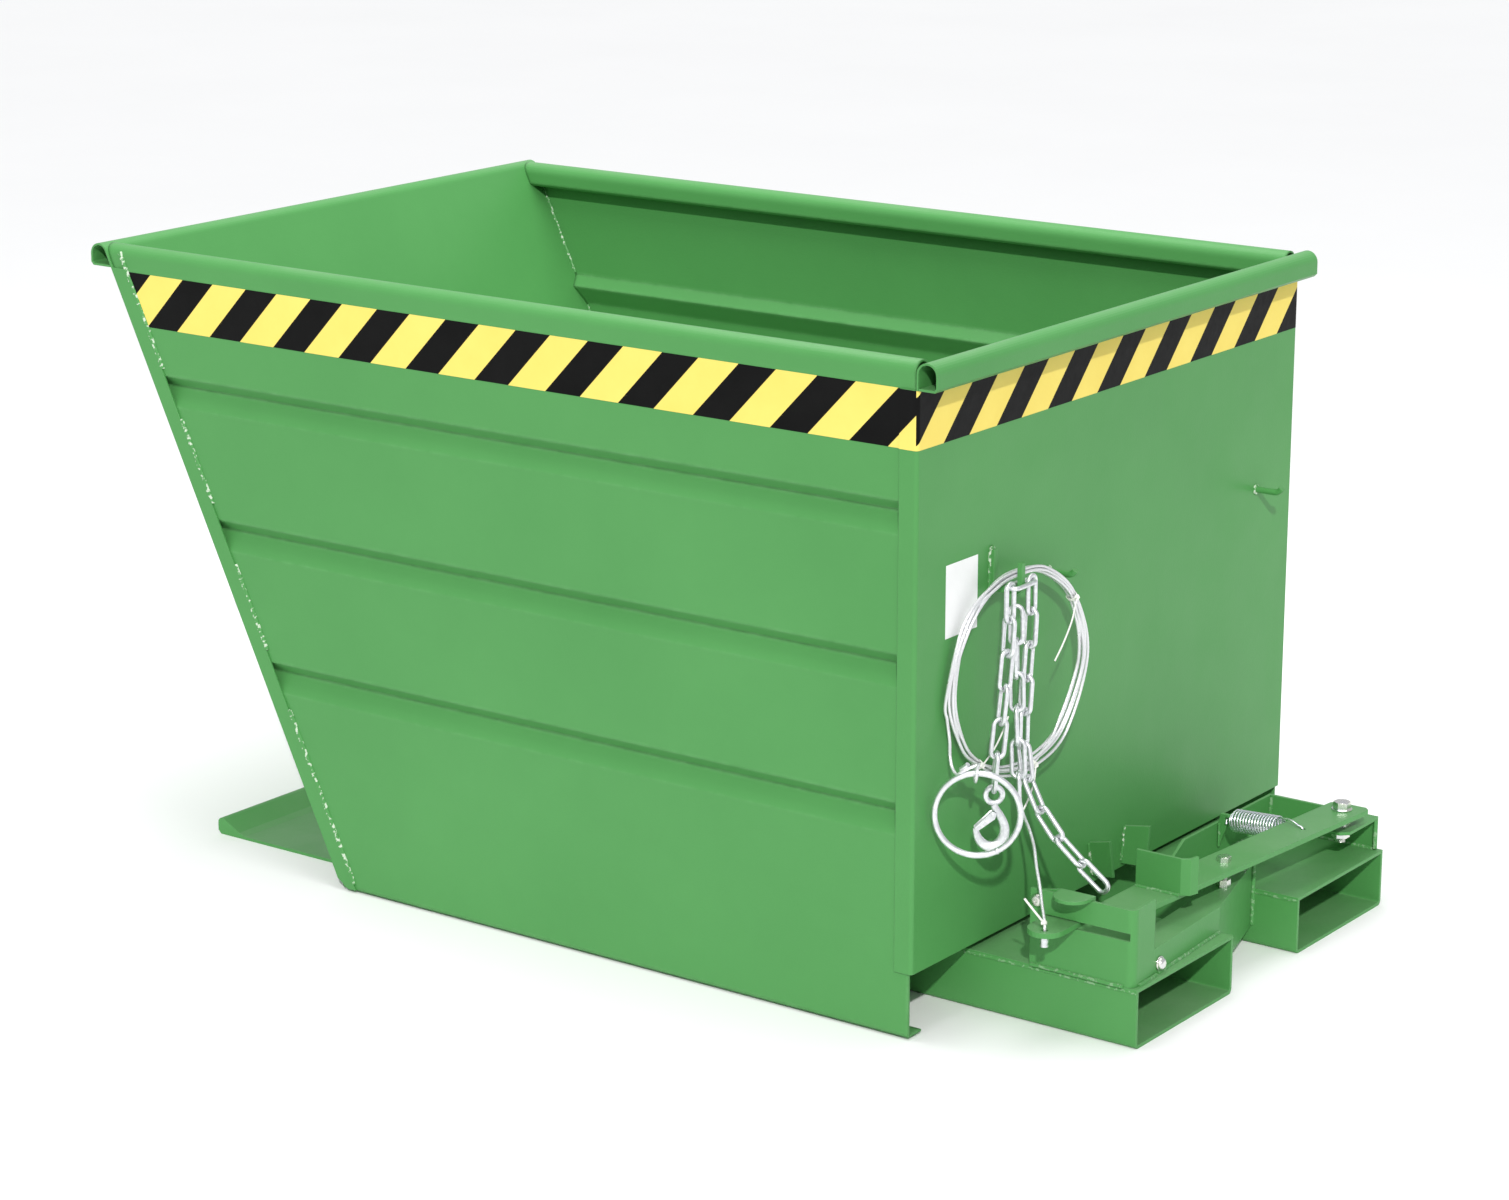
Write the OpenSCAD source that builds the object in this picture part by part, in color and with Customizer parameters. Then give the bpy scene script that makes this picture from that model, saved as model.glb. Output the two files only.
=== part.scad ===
// Fork-lift tipping skip: a sheet steel bin that tips forward off a base with fork pockets.
// Lengths are in millimetres. +Z is up and +X points to the end where the forks enter.
// Parts are drawn from the rear wall's outer face (x = 0) and moved to the middle by seat().

/* [Bin] */
// Outer width of the bin over its side walls
bin_w = 1070; // [900:10:1300]
// Height of the rim above the ground
rim_z = 985; // [930:5:1200]
// Length of the bin at the rim, between the outer faces of its end walls
top_len = 1556; // [1400:10:1750]
// Length of the bin at the ground
bottom_len = 1085; // [1000:5:1250]
// Thickness of the bin's sheet
sheet_t = 3; // [2:0.5:4]
// Height of the bottom edge of the side walls
skirt_z = 5; // [4:1:15]
// Height of the floor's underside
floor_z = 105; // [100:1:130]
// Width of the turned-in foot of each side wall
foot_w = 33; // [20:1:40]

/* [Swages] */
// Height of the top edge of the lowest swage
swage_low = 353; // [300:1:380]
// Height of the top edge of the middle swage
swage_mid = 569; // [480:1:590]
// Height of the top edge of the highest swage
swage_high = 788; // [650:1:800]
// Height of one swage
swage_h = 50; // [30:1:60]
// Depth that a swage is pressed inwards
swage_d = 18; // [8:1:22]

/* [Rims] */
// How far the rolled rim stands out from its wall
rim_proud = 32; // [24:1:36]
// Height of the rolled rim
rim_high = 40; // [36:1:48]
// Inner radius of the front rim's roll
front_curl_r = 15; // [10:1:16]

/* [End walls] */
// Reach of the rear wall's flanges along the side walls
rear_wrap = 30; // [20:1:40]
// Reach of the front wall's flanges along the side walls
front_wrap = 27; // [20:1:40]
// Outer radius of the bends in the bin's sheets
bend_r = 6; // [4:0.5:8]
// Height of the rear wall's bottom edge
rear_bottom_z = 101; // [98:1:104]

/* [Hazard tape] */
// Height of the tape's lower edge
tape_z = 861; // [830:1:870]
// Width of the tape
tape_w = 84; // [40:1:84]
// Thickness of the tape and of the label
tape_t = 0.3; // [0.2:0.1:0.5]

/* [Base] */
// Distance from the rear wall to the rear end of the fork pockets
fork_reach = 272; // [240:1:320]
// Length of the fork pockets
fork_len = 1062; // [950:1:1100]
// Outer width of a fork pocket
fork_w = 275; // [200:1:280]
// Distance from the middle to the inner side of a fork pocket
fork_in = 99; // [90:1:110]
// Outer height of a fork pocket
fork_h = 90; // [70:1:90]
// Thickness of the base's plates
plate_t = 5; // [4:0.5:6]
// Length of the ground plate in front of the pockets
nose_len = 647; // [600:1:700]
// Width of the ground plate
nose_w = 900; // [860:1:920]
// Height of the rolled nose of the ground plate
nose_h = 28; // [16:1:30]

/* [Tipping axle] */
// Distance from the rear wall to the axle
axle_back = 1067; // [1060:1:1070]
// Height of the axle
axle_z = 60; // [58:1:62]
// Diameter of the axle
axle_d = 25; // [20:1:30]
// Radial running clearance of the turning pins
run_gap = 0.05; // [0.02:0.01:0.1]
// Clearance between the floor and the rest pads
pad_gap = 0.3; // [0.2:0.1:1]

/* [Latch] */
// Height of the latch lever's underside
lever_z = 161; // [155:1:165]
// Thickness of the latch lever
lever_t = 8; // [6:1:10]
// Width of the latch lever
lever_w = 65; // [50:1:70]
// Height of the near bracket
bracket_z = 206; // [196:1:220]
// Height of the cross member
member_z = 130; // [120:1:135]
// Outer diameter of the latch spring
spring_d = 36; // [28:1:40]
// Wire diameter of the latch spring
spring_wire = 4; // [3:0.5:5]
// Number of coils of the latch spring
spring_turns = 16; // [10:1:20]

/* [Chain] */
// Wire diameter of the chain
chain_wire = 7; // [6:0.5:8]
// Inner length of a link
link_len = 49; // [44:1:54]
// Outer width of a link
link_w = 26; // [25:1:30]

/* [Hidden] */
$fn = 48;
green = [0.37, 0.65, 0.38];
zinc = [0.78, 0.79, 0.8];
steel = [0.55, 0.56, 0.58];
half_w = bin_w / 2;
foot_z = skirt_z + sheet_t;
slope = (top_len - bottom_len) / (rim_z - skirt_z);
lean = atan(slope);
arc_n = 8;

function unit(v) = v / norm(v);
function left_of(v) = [-v[1], v[0]];
function joint_normal(p, i) = let (
    n = len(p),
    a = left_of(unit(i == 0 ? p[1] - p[0] : p[i] - p[i - 1])),
    b = left_of(unit(i == n - 1 ? p[i] - p[i - 1] : p[i + 1] - p[i])),
    m = unit(a + b)) m / (m * a);
function arc(c, r, a0, a1, n = arc_n) =
    [for (i = [0 : n]) let (a = a0 + (a1 - a0) * i / n) c + r * [cos(a), sin(a)]];
// The face of a rolled rim that lies inside the roll, from the wall's face up, over and back.
function curl(r, high, t, tilt = 0) = let (
    cv = high - t - r,
    cu = r * cos(tilt) + (cv + r * sin(tilt)) * tan(tilt),
    corner = 3) concat([[0, 0]], arc([cu, cv], r, 180 - tilt, 0, 14),
    [[cu + r, t + corner], [cu + r - corner, t], [t * tan(tilt) + 1, t]]);
function front_x(z) = -bottom_len - (z - skirt_z) * slope;
function vector_sum(list, n) = n < 0 ? [0, 0, 0] : list[n] + vector_sum(list, n - 1);

front_rim_z = rim_z - rim_high + 4;
front_cu = front_curl_r * cos(lean)
    + (rim_z - front_rim_z - sheet_t - front_curl_r + front_curl_r * sin(lean)) * slope;
front_reach = -front_x(front_rim_z) + front_cu + front_curl_r + sheet_t;
rear_x = (front_reach - fork_reach) / 2;
rim_z0 = rim_z - rim_high;
rim_r = (rim_proud - sheet_t) / 2;

module seat() { translate([rear_x, 0, 0]) children(); }
module both_sides() { children(); mirror([0, 1, 0]) children(); }
// A sheet of thickness t on the left of a bent line
module sheet(p, t) {
    back = [for (i = [len(p) - 1 : -1 : 0]) p[i] + joint_normal(p, i) * t];
    polygon(concat(p, back));
}
module along_x(x0, x1) { translate([x0, 0, 0]) rotate([90, 0, 90]) linear_extrude(x1 - x0) children(); }
module along_y(y0, y1) { translate([0, y1, 0]) rotate([90, 0, 0]) linear_extrude(y1 - y0) children(); }
module along_z(z0, z1) { translate([0, 0, z0]) linear_extrude(z1 - z0) children(); }
module block(x0, x1, y0, y1, z0, z1) { translate([x0, y0, z0]) cube([x1 - x0, y1 - y0, z1 - z0]); }
module pin_y(x, z, y0, y1, r) { translate([x, y0, z]) rotate([-90, 0, 0]) cylinder(h = y1 - y0, r = r); }
module pin_z(x, y, z0, z1, r) { translate([x, y, z0]) cylinder(h = z1 - z0, r = r); }
module hex_z(x, y, z0, h, across) {
    translate([x, y, z0]) cylinder(h = h, r = across / sqrt(3), $fn = 6);
}

// ---- Bin sheets ----
function swage_line(z, face) = [[face, z - swage_h], [face - swage_d, z - swage_h * 0.36], [face, z]];
side_face = half_w - sheet_t;
side_line = concat([[half_w - foot_w, foot_z], [side_face, foot_z]],
    swage_line(swage_low, side_face), swage_line(swage_mid, side_face), swage_line(swage_high, side_face),
    [for (q = curl(rim_r, rim_high, sheet_t)) [side_face - q[0], rim_z0 + q[1]]]);
front_skin = sheet_t / cos(lean);
side_end = -bend_r - 0.1;
module side_outline() {
    polygon([[front_x(skirt_z) + front_skin, skirt_z], [side_end, skirt_z], [side_end, rim_z],
        [front_x(rim_z) + front_skin, rim_z]]);
}
module side_wall() {
    intersection() {
        along_x(-top_len - 10, -bend_r) sheet(side_line, -sheet_t);
        along_y(0, half_w + 1) side_outline();
    }
}
module side_wall_left() { color(green) seat() side_wall(); }
module side_wall_right() { color(green) seat() mirror([0, 1, 0]) side_wall(); }

wrap_y = half_w + sheet_t;
rear_plan = concat([[-rear_wrap, -wrap_y]], arc([-bend_r, -wrap_y + bend_r], bend_r, -90, 0),
    arc([-bend_r, wrap_y - bend_r], bend_r, 0, 90), [[-rear_wrap, wrap_y]]);
module rear_wall() {
    color(green) seat() {
        along_z(rear_bottom_z, rim_z0) sheet(rear_plan, sheet_t);
        along_y(-wrap_y, wrap_y)
            sheet([for (q = curl(rim_r, rim_high, sheet_t)) [q[0], rim_z0 + q[1]]], sheet_t);
    }
}

leg_in = 465;
wrap_skin = front_wrap / cos(lean);
corner_cut = 14;
front_top = curl(front_curl_r, rim_z - front_rim_z, sheet_t, lean);
front_roll = [for (i = [1 : len(front_top) - 1])
    [front_x(front_rim_z) - front_top[i][0], front_rim_z + front_top[i][1]]];
front_line = concat([[front_x(skirt_z), skirt_z]], front_roll);
module front_flange() {
    along_y(half_w, wrap_y) polygon([[front_x(skirt_z), skirt_z], [front_x(skirt_z) + wrap_skin, skirt_z],
        [front_x(front_rim_z) + wrap_skin, front_rim_z], [front_x(front_rim_z), front_rim_z]]);
}
cut_low = [front_x(skirt_z) + corner_cut, skirt_z];
cut_high = [front_x(skirt_z + corner_cut), skirt_z + corner_cut];
module front_wall() {
    color(green) seat() difference() {
        union() {
            along_y(-wrap_y, wrap_y) sheet(front_line, -sheet_t);
            both_sides() front_flange();
        }
        block(-bottom_len - 120, -bottom_len + 60, -leg_in, leg_in, 0, floor_z);
        along_y(-wrap_y - 1, wrap_y + 1) polygon([cut_low + (cut_low - cut_high),
            cut_high + (cut_high - cut_low), cut_low - [60, 30]]);
    }
}
floor_top = floor_z + sheet_t;
module floor_sheet() {
    color(green) seat() along_y(-side_face, side_face) polygon([
        [front_x(floor_z) + front_skin, floor_z], [-sheet_t, floor_z], [-sheet_t, floor_top],
        [front_x(floor_top) + front_skin, floor_top]]);
}

// ---- Under the floor ----
channel_y = 420;
channel_w = 40;
channel_h = 14;
module floor_channels() {
    color(green) seat() both_sides()
        block(-axle_back + 70, -40, channel_y - channel_w / 2, channel_y + channel_w / 2,
            floor_z - channel_h, floor_z);
}
lug_t = 12;
lug_out = 446;
hanger_t = 10;
hanger_out = lug_out - lug_t - 1.5;
hanger_r = 32;
module hanger() {
    difference() {
        union() {
            pin_y(-axle_back, axle_z, hanger_out - hanger_t, hanger_out, hanger_r);
            block(-axle_back - hanger_r, -axle_back + 60, hanger_out - hanger_t, hanger_out,
                axle_z, floor_z);
        }
        pin_y(-axle_back, axle_z, hanger_out - hanger_t - 1, hanger_out + 1, axle_d / 2 + run_gap);
    }
}
module pivot_hangers() { color(green) seat() both_sides() hanger(); }
bush_r = axle_d / 2 + 4;
module pivot_lugs() {
    color(green) seat() both_sides() difference() {
        union() {
            pin_y(-axle_back, axle_z, lug_out - lug_t, lug_out, 38);
            along_y(lug_out - lug_t, lug_out) polygon([[-axle_back - 60, plate_t],
                [-axle_back + 110, plate_t], [-axle_back + 28, axle_z + 26], [-axle_back - 36, axle_z - 10]]);
        }
        pin_y(-axle_back, axle_z, lug_out - lug_t - 1, lug_out + 1, bush_r);
    }
}
module pivot_bushes() {
    color("goldenrod") seat() both_sides() difference() {
        pin_y(-axle_back, axle_z, lug_out - lug_t - 1, lug_out + 0.5, bush_r - run_gap);
        pin_y(-axle_back, axle_z, lug_out - lug_t - 2, lug_out + 2, axle_d / 2 + run_gap);
    }
}
axle_end = lug_out + 16;
pin_y0 = lug_out + 10;
split_r = 2;
module pivot_axle() {
    color(steel) seat() difference() {
        pin_y(-axle_back, axle_z, -axle_end, axle_end, axle_d / 2);
        both_sides() pin_z(-axle_back, pin_y0, axle_z - axle_d, axle_z + axle_d, split_r + run_gap);
    }
}
module axle_washers() {
    color(zinc) seat() both_sides() difference() {
        pin_y(-axle_back, axle_z, lug_out + 1, lug_out + 5, axle_d / 2 + 9);
        pin_y(-axle_back, axle_z, lug_out, lug_out + 6, axle_d / 2 + run_gap);
    }
}
module split_pins() {
    color(zinc) seat() both_sides() {
        pin_z(-axle_back, pin_y0, axle_z - axle_d / 2 - 7, axle_z + axle_d / 2 + 1, split_r);
        translate([-axle_back, pin_y0, axle_z + axle_d / 2 + 5]) rotate([90, 0, 0])
            rotate_extrude() translate([4, 0]) circle(r = split_r / 2 + 0.5, $fn = 16);
    }
}

// ---- Base ----
pocket_front = fork_reach - fork_len;
fork_out = fork_in + fork_w;
fork_bend = 8;
side_top = fork_h - plate_t;
channel_line = concat([[fork_in, side_top]], arc([fork_in + fork_bend, fork_bend], fork_bend, 180, 270, 4),
    arc([fork_out - fork_bend, fork_bend], fork_bend, 270, 360, 4), [[fork_out, side_top]]);
module fork_channel() { along_x(pocket_front, fork_reach) sheet(channel_line, plate_t); }
module fork_top() { block(pocket_front, fork_reach, fork_in, fork_out, side_top, fork_h); }
module fork_channel_left() { color(green) seat() fork_channel(); }
module fork_channel_right() { color(green) seat() mirror([0, 1, 0]) fork_channel(); }
module fork_top_left() { color(green) seat() fork_top(); }
module fork_top_right() { color(green) seat() mirror([0, 1, 0]) fork_top(); }
nose_x = pocket_front - nose_len;
nose_slope = 46;
module ground_plate() {
    color(green) seat() along_y(-nose_w / 2, nose_w / 2) polygon(concat(
        [[pocket_front, 0], [pocket_front, plate_t], [nose_x + nose_slope + 14, plate_t],
        [nose_x + nose_slope, plate_t + 4]],
        [for (a = [60 : 20 : 180]) [nose_x + 9, nose_h - 9] + 9 * [cos(a), sin(a)]],
        [[nose_x, 6], [nose_x + 6, 0]]));
}
pad_z = floor_z - pad_gap;
pad_xs = [-100, -640];
module rest_pads() {
    color(green) seat() both_sides() for (x = pad_xs)
        block(x - 30, x + 30, fork_in + 30, fork_out - 30, fork_h, pad_z);
}

// ---- Rear frame of the base ----
near_x0 = 93;
near_y = -fork_out;
corner_r = 12;
ear_y = -310;
face_near = [265, near_y + corner_r];
face_mid = [249, -100];
face_far = [193, fork_in];
ear_end = face_near + (face_mid - face_near) * (ear_y - face_near[1]) / (face_mid[1] - face_near[1]);
bracket_line = concat([[near_x0, near_y]], arc(face_near - [corner_r, 0], corner_r, -90, 0, 6), [ear_end]);
slot_x0 = 112;
slot_x1 = 258;
slot_gap = 2;
pawl_x = 105;
pawl_z = 190;
screw_xs = [205, 238];
module near_bracket() {
    color(green) seat() difference() {
        along_z(fork_h, bracket_z) sheet(bracket_line, plate_t);
        block(slot_x0, slot_x1, near_y - 1, near_y + plate_t + 1, lever_z - slot_gap,
            lever_z + lever_t + slot_gap);
        pin_y(pawl_x, pawl_z, near_y - 1, near_y + plate_t + 1, 6 + run_gap);
    }
}
member_low = 28;
flange_in = 45;
member_line = [ear_end, face_mid, face_far];
member_middle = [for (i = [0 : 2]) member_line[i] + joint_normal(member_line, i) * plate_t / 2];
module cross_member() {
    color(green) seat() difference() {
        union() {
            along_z(member_low, member_z) sheet(member_line, plate_t);
            along_z(member_z - plate_t, member_z) sheet(member_middle, flange_in);
        }
        block(0, fork_reach + 1, near_y, -fork_in, 0, fork_h);
    }
}
upstand_x0 = 70;
upstand_x1 = 262;
upstand_z = 143;
pivot = [236, 300];
pivot_r = 8;
module far_upstand() {
    color(green) seat() difference() {
        union() {
            block(upstand_x0 + plate_t, upstand_x1, fork_out - plate_t, fork_out, fork_h, upstand_z);
            along_z(upstand_z - plate_t, upstand_z) polygon([[192, fork_out - 1], [192, 268],
                [upstand_x1 - 12, 268], [upstand_x1, 280], [upstand_x1, fork_out - 1]]);
        }
        pin_z(pivot[0], pivot[1], fork_h, upstand_z + 1, pivot_r + run_gap);
    }
}
web_y0 = 60;
module rear_web() {
    color(green) seat() difference() {
        block(upstand_x0, upstand_x0 + plate_t, web_y0, fork_out, fork_h, upstand_z);
        along_x(upstand_x0 - 1, upstand_x0 + plate_t + 1)
            polygon([[web_y0 - 1, fork_h + 30], [web_y0 - 1, upstand_z + 1], [web_y0 + 40, upstand_z + 1]]);
    }
}
spring_a = [90, 205, 150];
spring_b = [232, 182, 165];
hook_hole_r = 4;
module spring_anchor() {
    color(green) seat() difference() {
        along_y(spring_a[1] - 3, spring_a[1] + 3) polygon([[upstand_x0 + plate_t, fork_h + 10],
            [upstand_x0 + plate_t, upstand_z], [spring_a[0] - 12, spring_a[2] + 8],
            [spring_a[0], spring_a[2] + 8], [spring_a[0] + 8, spring_a[2]], [spring_a[0], spring_a[2] - 10]]);
        pin_y(spring_a[0], spring_a[2], spring_a[1] - 4, spring_a[1] + 4, hook_hole_r);
    }
}
module bracket_screws() {
    color(zinc) seat() for (x = screw_xs) {
        pin_y(x, bracket_z - 18, near_y + plate_t, near_y + plate_t + 5, 6);
    }
}
member_bolt_at = [261.2, -294, 104];
module member_bolt() {
    color(zinc) seat() translate(member_bolt_at) rotate([0, 90, 0]) {
        translate([0, 0, 0.6]) cylinder(h = 4, r = 11);
        translate([0, 0, 4.6]) cylinder(h = 4, r1 = 9, r2 = 5);
    }
}

// ---- Latch lever ----
lever_slope = 0.085;
function lever_rear(y) = pivot[0] + 32 + (y - pivot[1]) * lever_slope;
tongue = [145, -414];
tongue_r = 27;
lever_plan = concat([[lever_rear(330) - 8, 330], [lever_rear(330) - lever_w + 8, 330],
    [lever_rear(322) - lever_w, 322], [lever_rear(-150) - lever_w, -150], [155, -187], [154, -290],
    [tongue[0] - tongue_r, -350]],
    arc(tongue, tongue_r, 180, 360, 12), [[tongue[0] + tongue_r, -352], [200, -338],
    [lever_rear(-300) - 6, -306], [lever_rear(-292), -292], [lever_rear(322), 322]]);
cable_hole = [150, -426];
glide = [208, -18];
module latch_lever() {
    color(green) seat() difference() {
        along_z(lever_z, lever_z + lever_t) polygon(lever_plan);
        pin_z(pivot[0], pivot[1], lever_z - 1, lever_z + lever_t + 1, pivot_r + run_gap);
        pin_z(cable_hole[0], cable_hole[1], lever_z - 1, lever_z + lever_t + 1, 5);
        pin_z(glide[0], glide[1], lever_z - 1, lever_z + lever_t + 1, 6 + run_gap);
        pin_z(spring_b[0], spring_b[1], lever_z - 1, lever_z + lever_t + 1, hook_hole_r);
    }
}
lever_top = lever_z + lever_t;
tab_line = [[157, -189], [232, -189], [244, -181], [248, -165]];
module lever_tab() {
    color(green) seat() along_z(lever_top, lever_top + 56) sheet(tab_line, plate_t);
}
module glide_bolt() {
    color(zinc) seat() {
        hex_z(glide[0], glide[1], lever_top, 8, 19);
        pin_z(glide[0], glide[1], member_z + 0.3, lever_top, 6);
        difference() {
            hex_z(glide[0], glide[1], member_z + 0.3, 11, 19);
            pin_z(glide[0], glide[1], member_z, member_z + 12, 6);
        }
    }
}
module lever_pivot_bolt() {
    color(zinc) seat() {
        hex_z(pivot[0], pivot[1], lever_top + 2.3, 11, 24);
        pin_z(pivot[0], pivot[1], upstand_z - 26, lever_top + 2.3, pivot_r);
        difference() {
            pin_z(pivot[0], pivot[1], lever_top + 0.3, lever_top + 2.3, 16);
            pin_z(pivot[0], pivot[1], lever_top, lever_top + 3, pivot_r);
        }
    }
}
module lever_pivot_nut() {
    color(zinc) seat() for (z = [upstand_z, upstand_z - plate_t - 13]) difference() {
        hex_z(pivot[0], pivot[1], z, z == upstand_z ? lever_z - upstand_z - 0.3 : 13, 24);
        pin_z(pivot[0], pivot[1], z - 1, z + 30, pivot_r + run_gap);
    }
}
module cable_ferrule() {
    color(zinc) seat() {
        difference() {
            pin_z(cable_hole[0], cable_hole[1], lever_z - 16, lever_z, 6.5);
            pin_z(cable_hole[0], cable_hole[1], lever_z - 2, lever_z + 1, 2);
        }
    }
}

// A closed tube of n sides round a line of points
function frame_of(d, ref) = let (s = unit(ref - (ref * d) * d)) [s, cross(d, s)];
function ring_of(c, d, r, n, ref) = let (f = frame_of(d, ref))
    [for (k = [0 : n - 1]) c + r * (cos(360 * k / n) * f[0] + sin(360 * k / n) * f[1])];
function direction_at(p, i) = unit(p[min(i + 1, len(p) - 1)] - p[max(i - 1, 0)]);
module tube(p, r, n, refs) {
    m = len(p);
    rings = [for (i = [0 : m - 1]) each ring_of(p[i], direction_at(p, i), r, n, refs[i])];
    sides = [for (i = [0 : m - 2], k = [0 : n - 1]) let (a = i * n + k, b = i * n + (k + 1) % n)
        each [[a, b, b + n], [a, b + n, a + n]]];
    caps = [[for (k = [n - 1 : -1 : 0]) k], [for (k = [0 : n - 1]) (m - 1) * n + k]];
    polyhedron(points = rings, faces = concat([for (f = sides) [f[2], f[1], f[0]]],
        [for (f = caps) [for (k = [len(f) - 1 : -1 : 0]) f[k]]]));
}
spring_axis = unit(spring_b - spring_a);
spring_start = 12;
spring_stop = 49;
spring_body = norm(spring_b - spring_a) - spring_start - spring_stop;
hook_over = lever_top + spring_wire / 2 + 0.3;
spring_steps = 12;
spring_mean = (spring_d - spring_wire) / 2;
module latch_spring() {
    f = frame_of(spring_axis, [0, 0, 1]);
    n = spring_turns * spring_steps;
    function around(i) = cos(360 * i / spring_steps) * f[0] + sin(360 * i / spring_steps) * f[1];
    coil = [for (i = [0 : n]) spring_a + spring_axis * (spring_start + spring_body * i / n)
        + spring_mean * around(i)];
    first = [spring_a - [0, 5, 0], spring_a + [0, 4, 0], spring_a + [5, 8, 5], spring_a + [11, 6, 12]];
    last = [[spring_b[0] - 38, spring_b[1] + 4, hook_over + 7],
        [spring_b[0] - 24, spring_b[1] + 2, hook_over + 7],
        [spring_b[0] - 14, spring_b[1], hook_over + 4], [spring_b[0] - 7, spring_b[1], hook_over + 1],
        [spring_b[0] - 2, spring_b[1], hook_over], [spring_b[0], spring_b[1], hook_over - 3],
        [spring_b[0], spring_b[1], lever_z + 1]];
    line = concat(first, coil, last);
    color(zinc) seat() tube(line, spring_wire / 2, 6, [for (i = [0 : len(line) - 1]) spring_axis
        * (i < 4 || i > n + 4 ? 0 : 1) + [0.1, 0.2, 0.15] + (i < 4 || i > n + 4 ? 3 * f[1] : [0, 0, 0])]);
}

// ---- Safety pawl ----
module safety_pawl() {
    color(green) seat() {
        difference() {
            along_y(near_y + plate_t + 0.4, near_y + 2 * plate_t + 0.4) polygon([[pawl_x - 14, pawl_z - 12],
                [pawl_x + 14, pawl_z - 14], [195, lever_top + 12], [195, bracket_z + 5.4],
                [139, bracket_z + 5.4], [pawl_x, pawl_z + 14], [pawl_x - 14, pawl_z + 8]]);
            pin_y(pawl_x, pawl_z, near_y, near_y + 3 * plate_t, 6 + run_gap);
        }
        along_z(bracket_z + 0.4, bracket_z + 5.4) polygon(concat([[195, near_y + plate_t + 0.4],
            [139, near_y + plate_t + 0.4]], arc([167, near_y - 6], 28, 180, 360, 12)));
    }
}
module pawl_bolt() {
    color(zinc) seat() {
        pin_y(pawl_x, pawl_z, near_y - 6, near_y, 10);
        pin_y(pawl_x, pawl_z, near_y, near_y + 2 * plate_t + 1, 6);
        pin_y(pawl_x, pawl_z, near_y + 2 * plate_t + 1, near_y + 2 * plate_t + 6, 10);
    }
}

// ---- On the rear wall ----
module catch_lugs() {
    color(green) seat() {
        multmatrix([[1, 0, 0, 0], [0, 1, -14 / 62, -65 + 14 / 62 * 177], [0, 0, 1, 0], [0, 0, 0, 1]])
            along_y(0, 6) polygon([[0, 112], [38, 116], [38, 177], [0, 168]]);
        multmatrix([[1, 0, 0, 0], [0, 1, 8 / 62, 49 - 8 / 62 * 173], [0, 0, 1, 0], [0, 0, 0, 1]])
            along_y(-6, 0) polygon([[0, 108], [44, 110], [44, 173], [0, 166]]);
    }
}
hook_y = -348;
hook_t = 8;
hook_low = 625;
hook_arm = 12;
module rope_hook() {
    color(green) seat() along_y(hook_y - hook_t / 2, hook_y + hook_t / 2) polygon([[0, 612], [8, hook_low],
        [46, hook_low], [55, hook_low + 8], [55, 672], [47, 672], [47, hook_low + hook_arm],
        [8, hook_low + hook_arm], [8, 685], [0, 685]]);
}
bar_r = 5;
module bar_hook(y) {
    translate([0, y, 620]) {
        rotate([0, 90, 0]) cylinder(h = 34, r = bar_r);
        translate([34, 0, 14]) rotate([90, 0, 0]) rotate([0, 0, -90])
            rotate_extrude(angle = 62) translate([14, 0]) circle(r = bar_r);
    }
}
module bar_hooks() { color(green) seat() for (y = [-194, 422]) bar_hook(y); }

tape_top = tape_z + tape_w;
module tape_side() {
    along_y(half_w, half_w + tape_t) polygon([[front_x(tape_z) + wrap_skin, tape_z], [-rear_wrap, tape_z],
        [-rear_wrap, tape_top], [front_x(tape_top) + wrap_skin, tape_top]]);
}
module hazard_tape_left() { color("gold") seat() tape_side(); }
module hazard_tape_right() { color("gold") seat() mirror([0, 1, 0]) tape_side(); }
module hazard_tape_rear() {
    color("gold") seat() along_z(tape_z, tape_top - 0.2) sheet(rear_plan, -tape_t);
}
module blank_label() { color("white") seat() block(0, tape_t, -463, -382, 578, 684); }

// ---- Chain ----
pitch = link_len - 0.3;
link_r = (link_w - chain_wire) / 2;
link_half = link_len / 2 + chain_wire / 2 - link_r;
module link() {
    for (s = [-1, 1]) translate([s * link_r, 0, -link_half])
        cylinder(h = 2 * link_half, r = chain_wire / 2, $fn = 24);
    for (a = [0, 180]) rotate([0, a, 0]) translate([0, 0, link_half]) rotate([90, 0, 0])
        rotate_extrude(angle = 180, $fn = 24) translate([link_r, 0]) circle(r = chain_wire / 2);
}
module place_link(p, d, ref) {
    f = frame_of(d, ref);
    c = p + d * pitch / 2;
    multmatrix([[f[0][0], f[1][0], d[0], c[0]], [f[0][1], f[1][1], d[1], c[1]],
        [f[0][2], f[1][2], d[2], c[2]], [0, 0, 0, 1]]) link();
}
// Each link stands across the one before it, and the whole run may twist a little from link to link.
module chain_run(start, dirs, twist) {
    steps = [for (d = dirs) unit(d)];
    for (i = [0 : len(dirs) - 1]) {
        turn = (i % 2 == 0 ? 90 : 0) + twist * i;
        place_link(start + pitch * vector_sum(steps, i - 1), steps[i], [cos(turn), sin(turn), 0]);
    }
}
function chain_end(start, dirs) =
    start + pitch * vector_sum([for (d = dirs) unit(d)], len(dirs) - 1);
top_link_z = hook_low + hook_arm + chain_wire / 2 + 0.3;
finger_x = 51;
end_wire = link_half + link_r;
hook_turn = -50;
hung_a = [finger_x, hook_y - end_wire, top_link_z + chain_wire / 2];
hung_b = [finger_x, hook_y + end_wire, top_link_z + chain_wire / 2];
run_a = [[0, 0, -1], [0, -3, -30], [0, -4, -30], [0, -5, -30], [0, -5, -30], [0, -4, -30]];
run_b = [[0, 0, -1], [0, -2, -30], [0, -3, -30], [0, -3, -30], [1, -2, -30], [6, -2, -30], [15, 0, -28],
    [23, 0, -26], [29, 0, -23], [30, 0, -22]];
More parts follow.
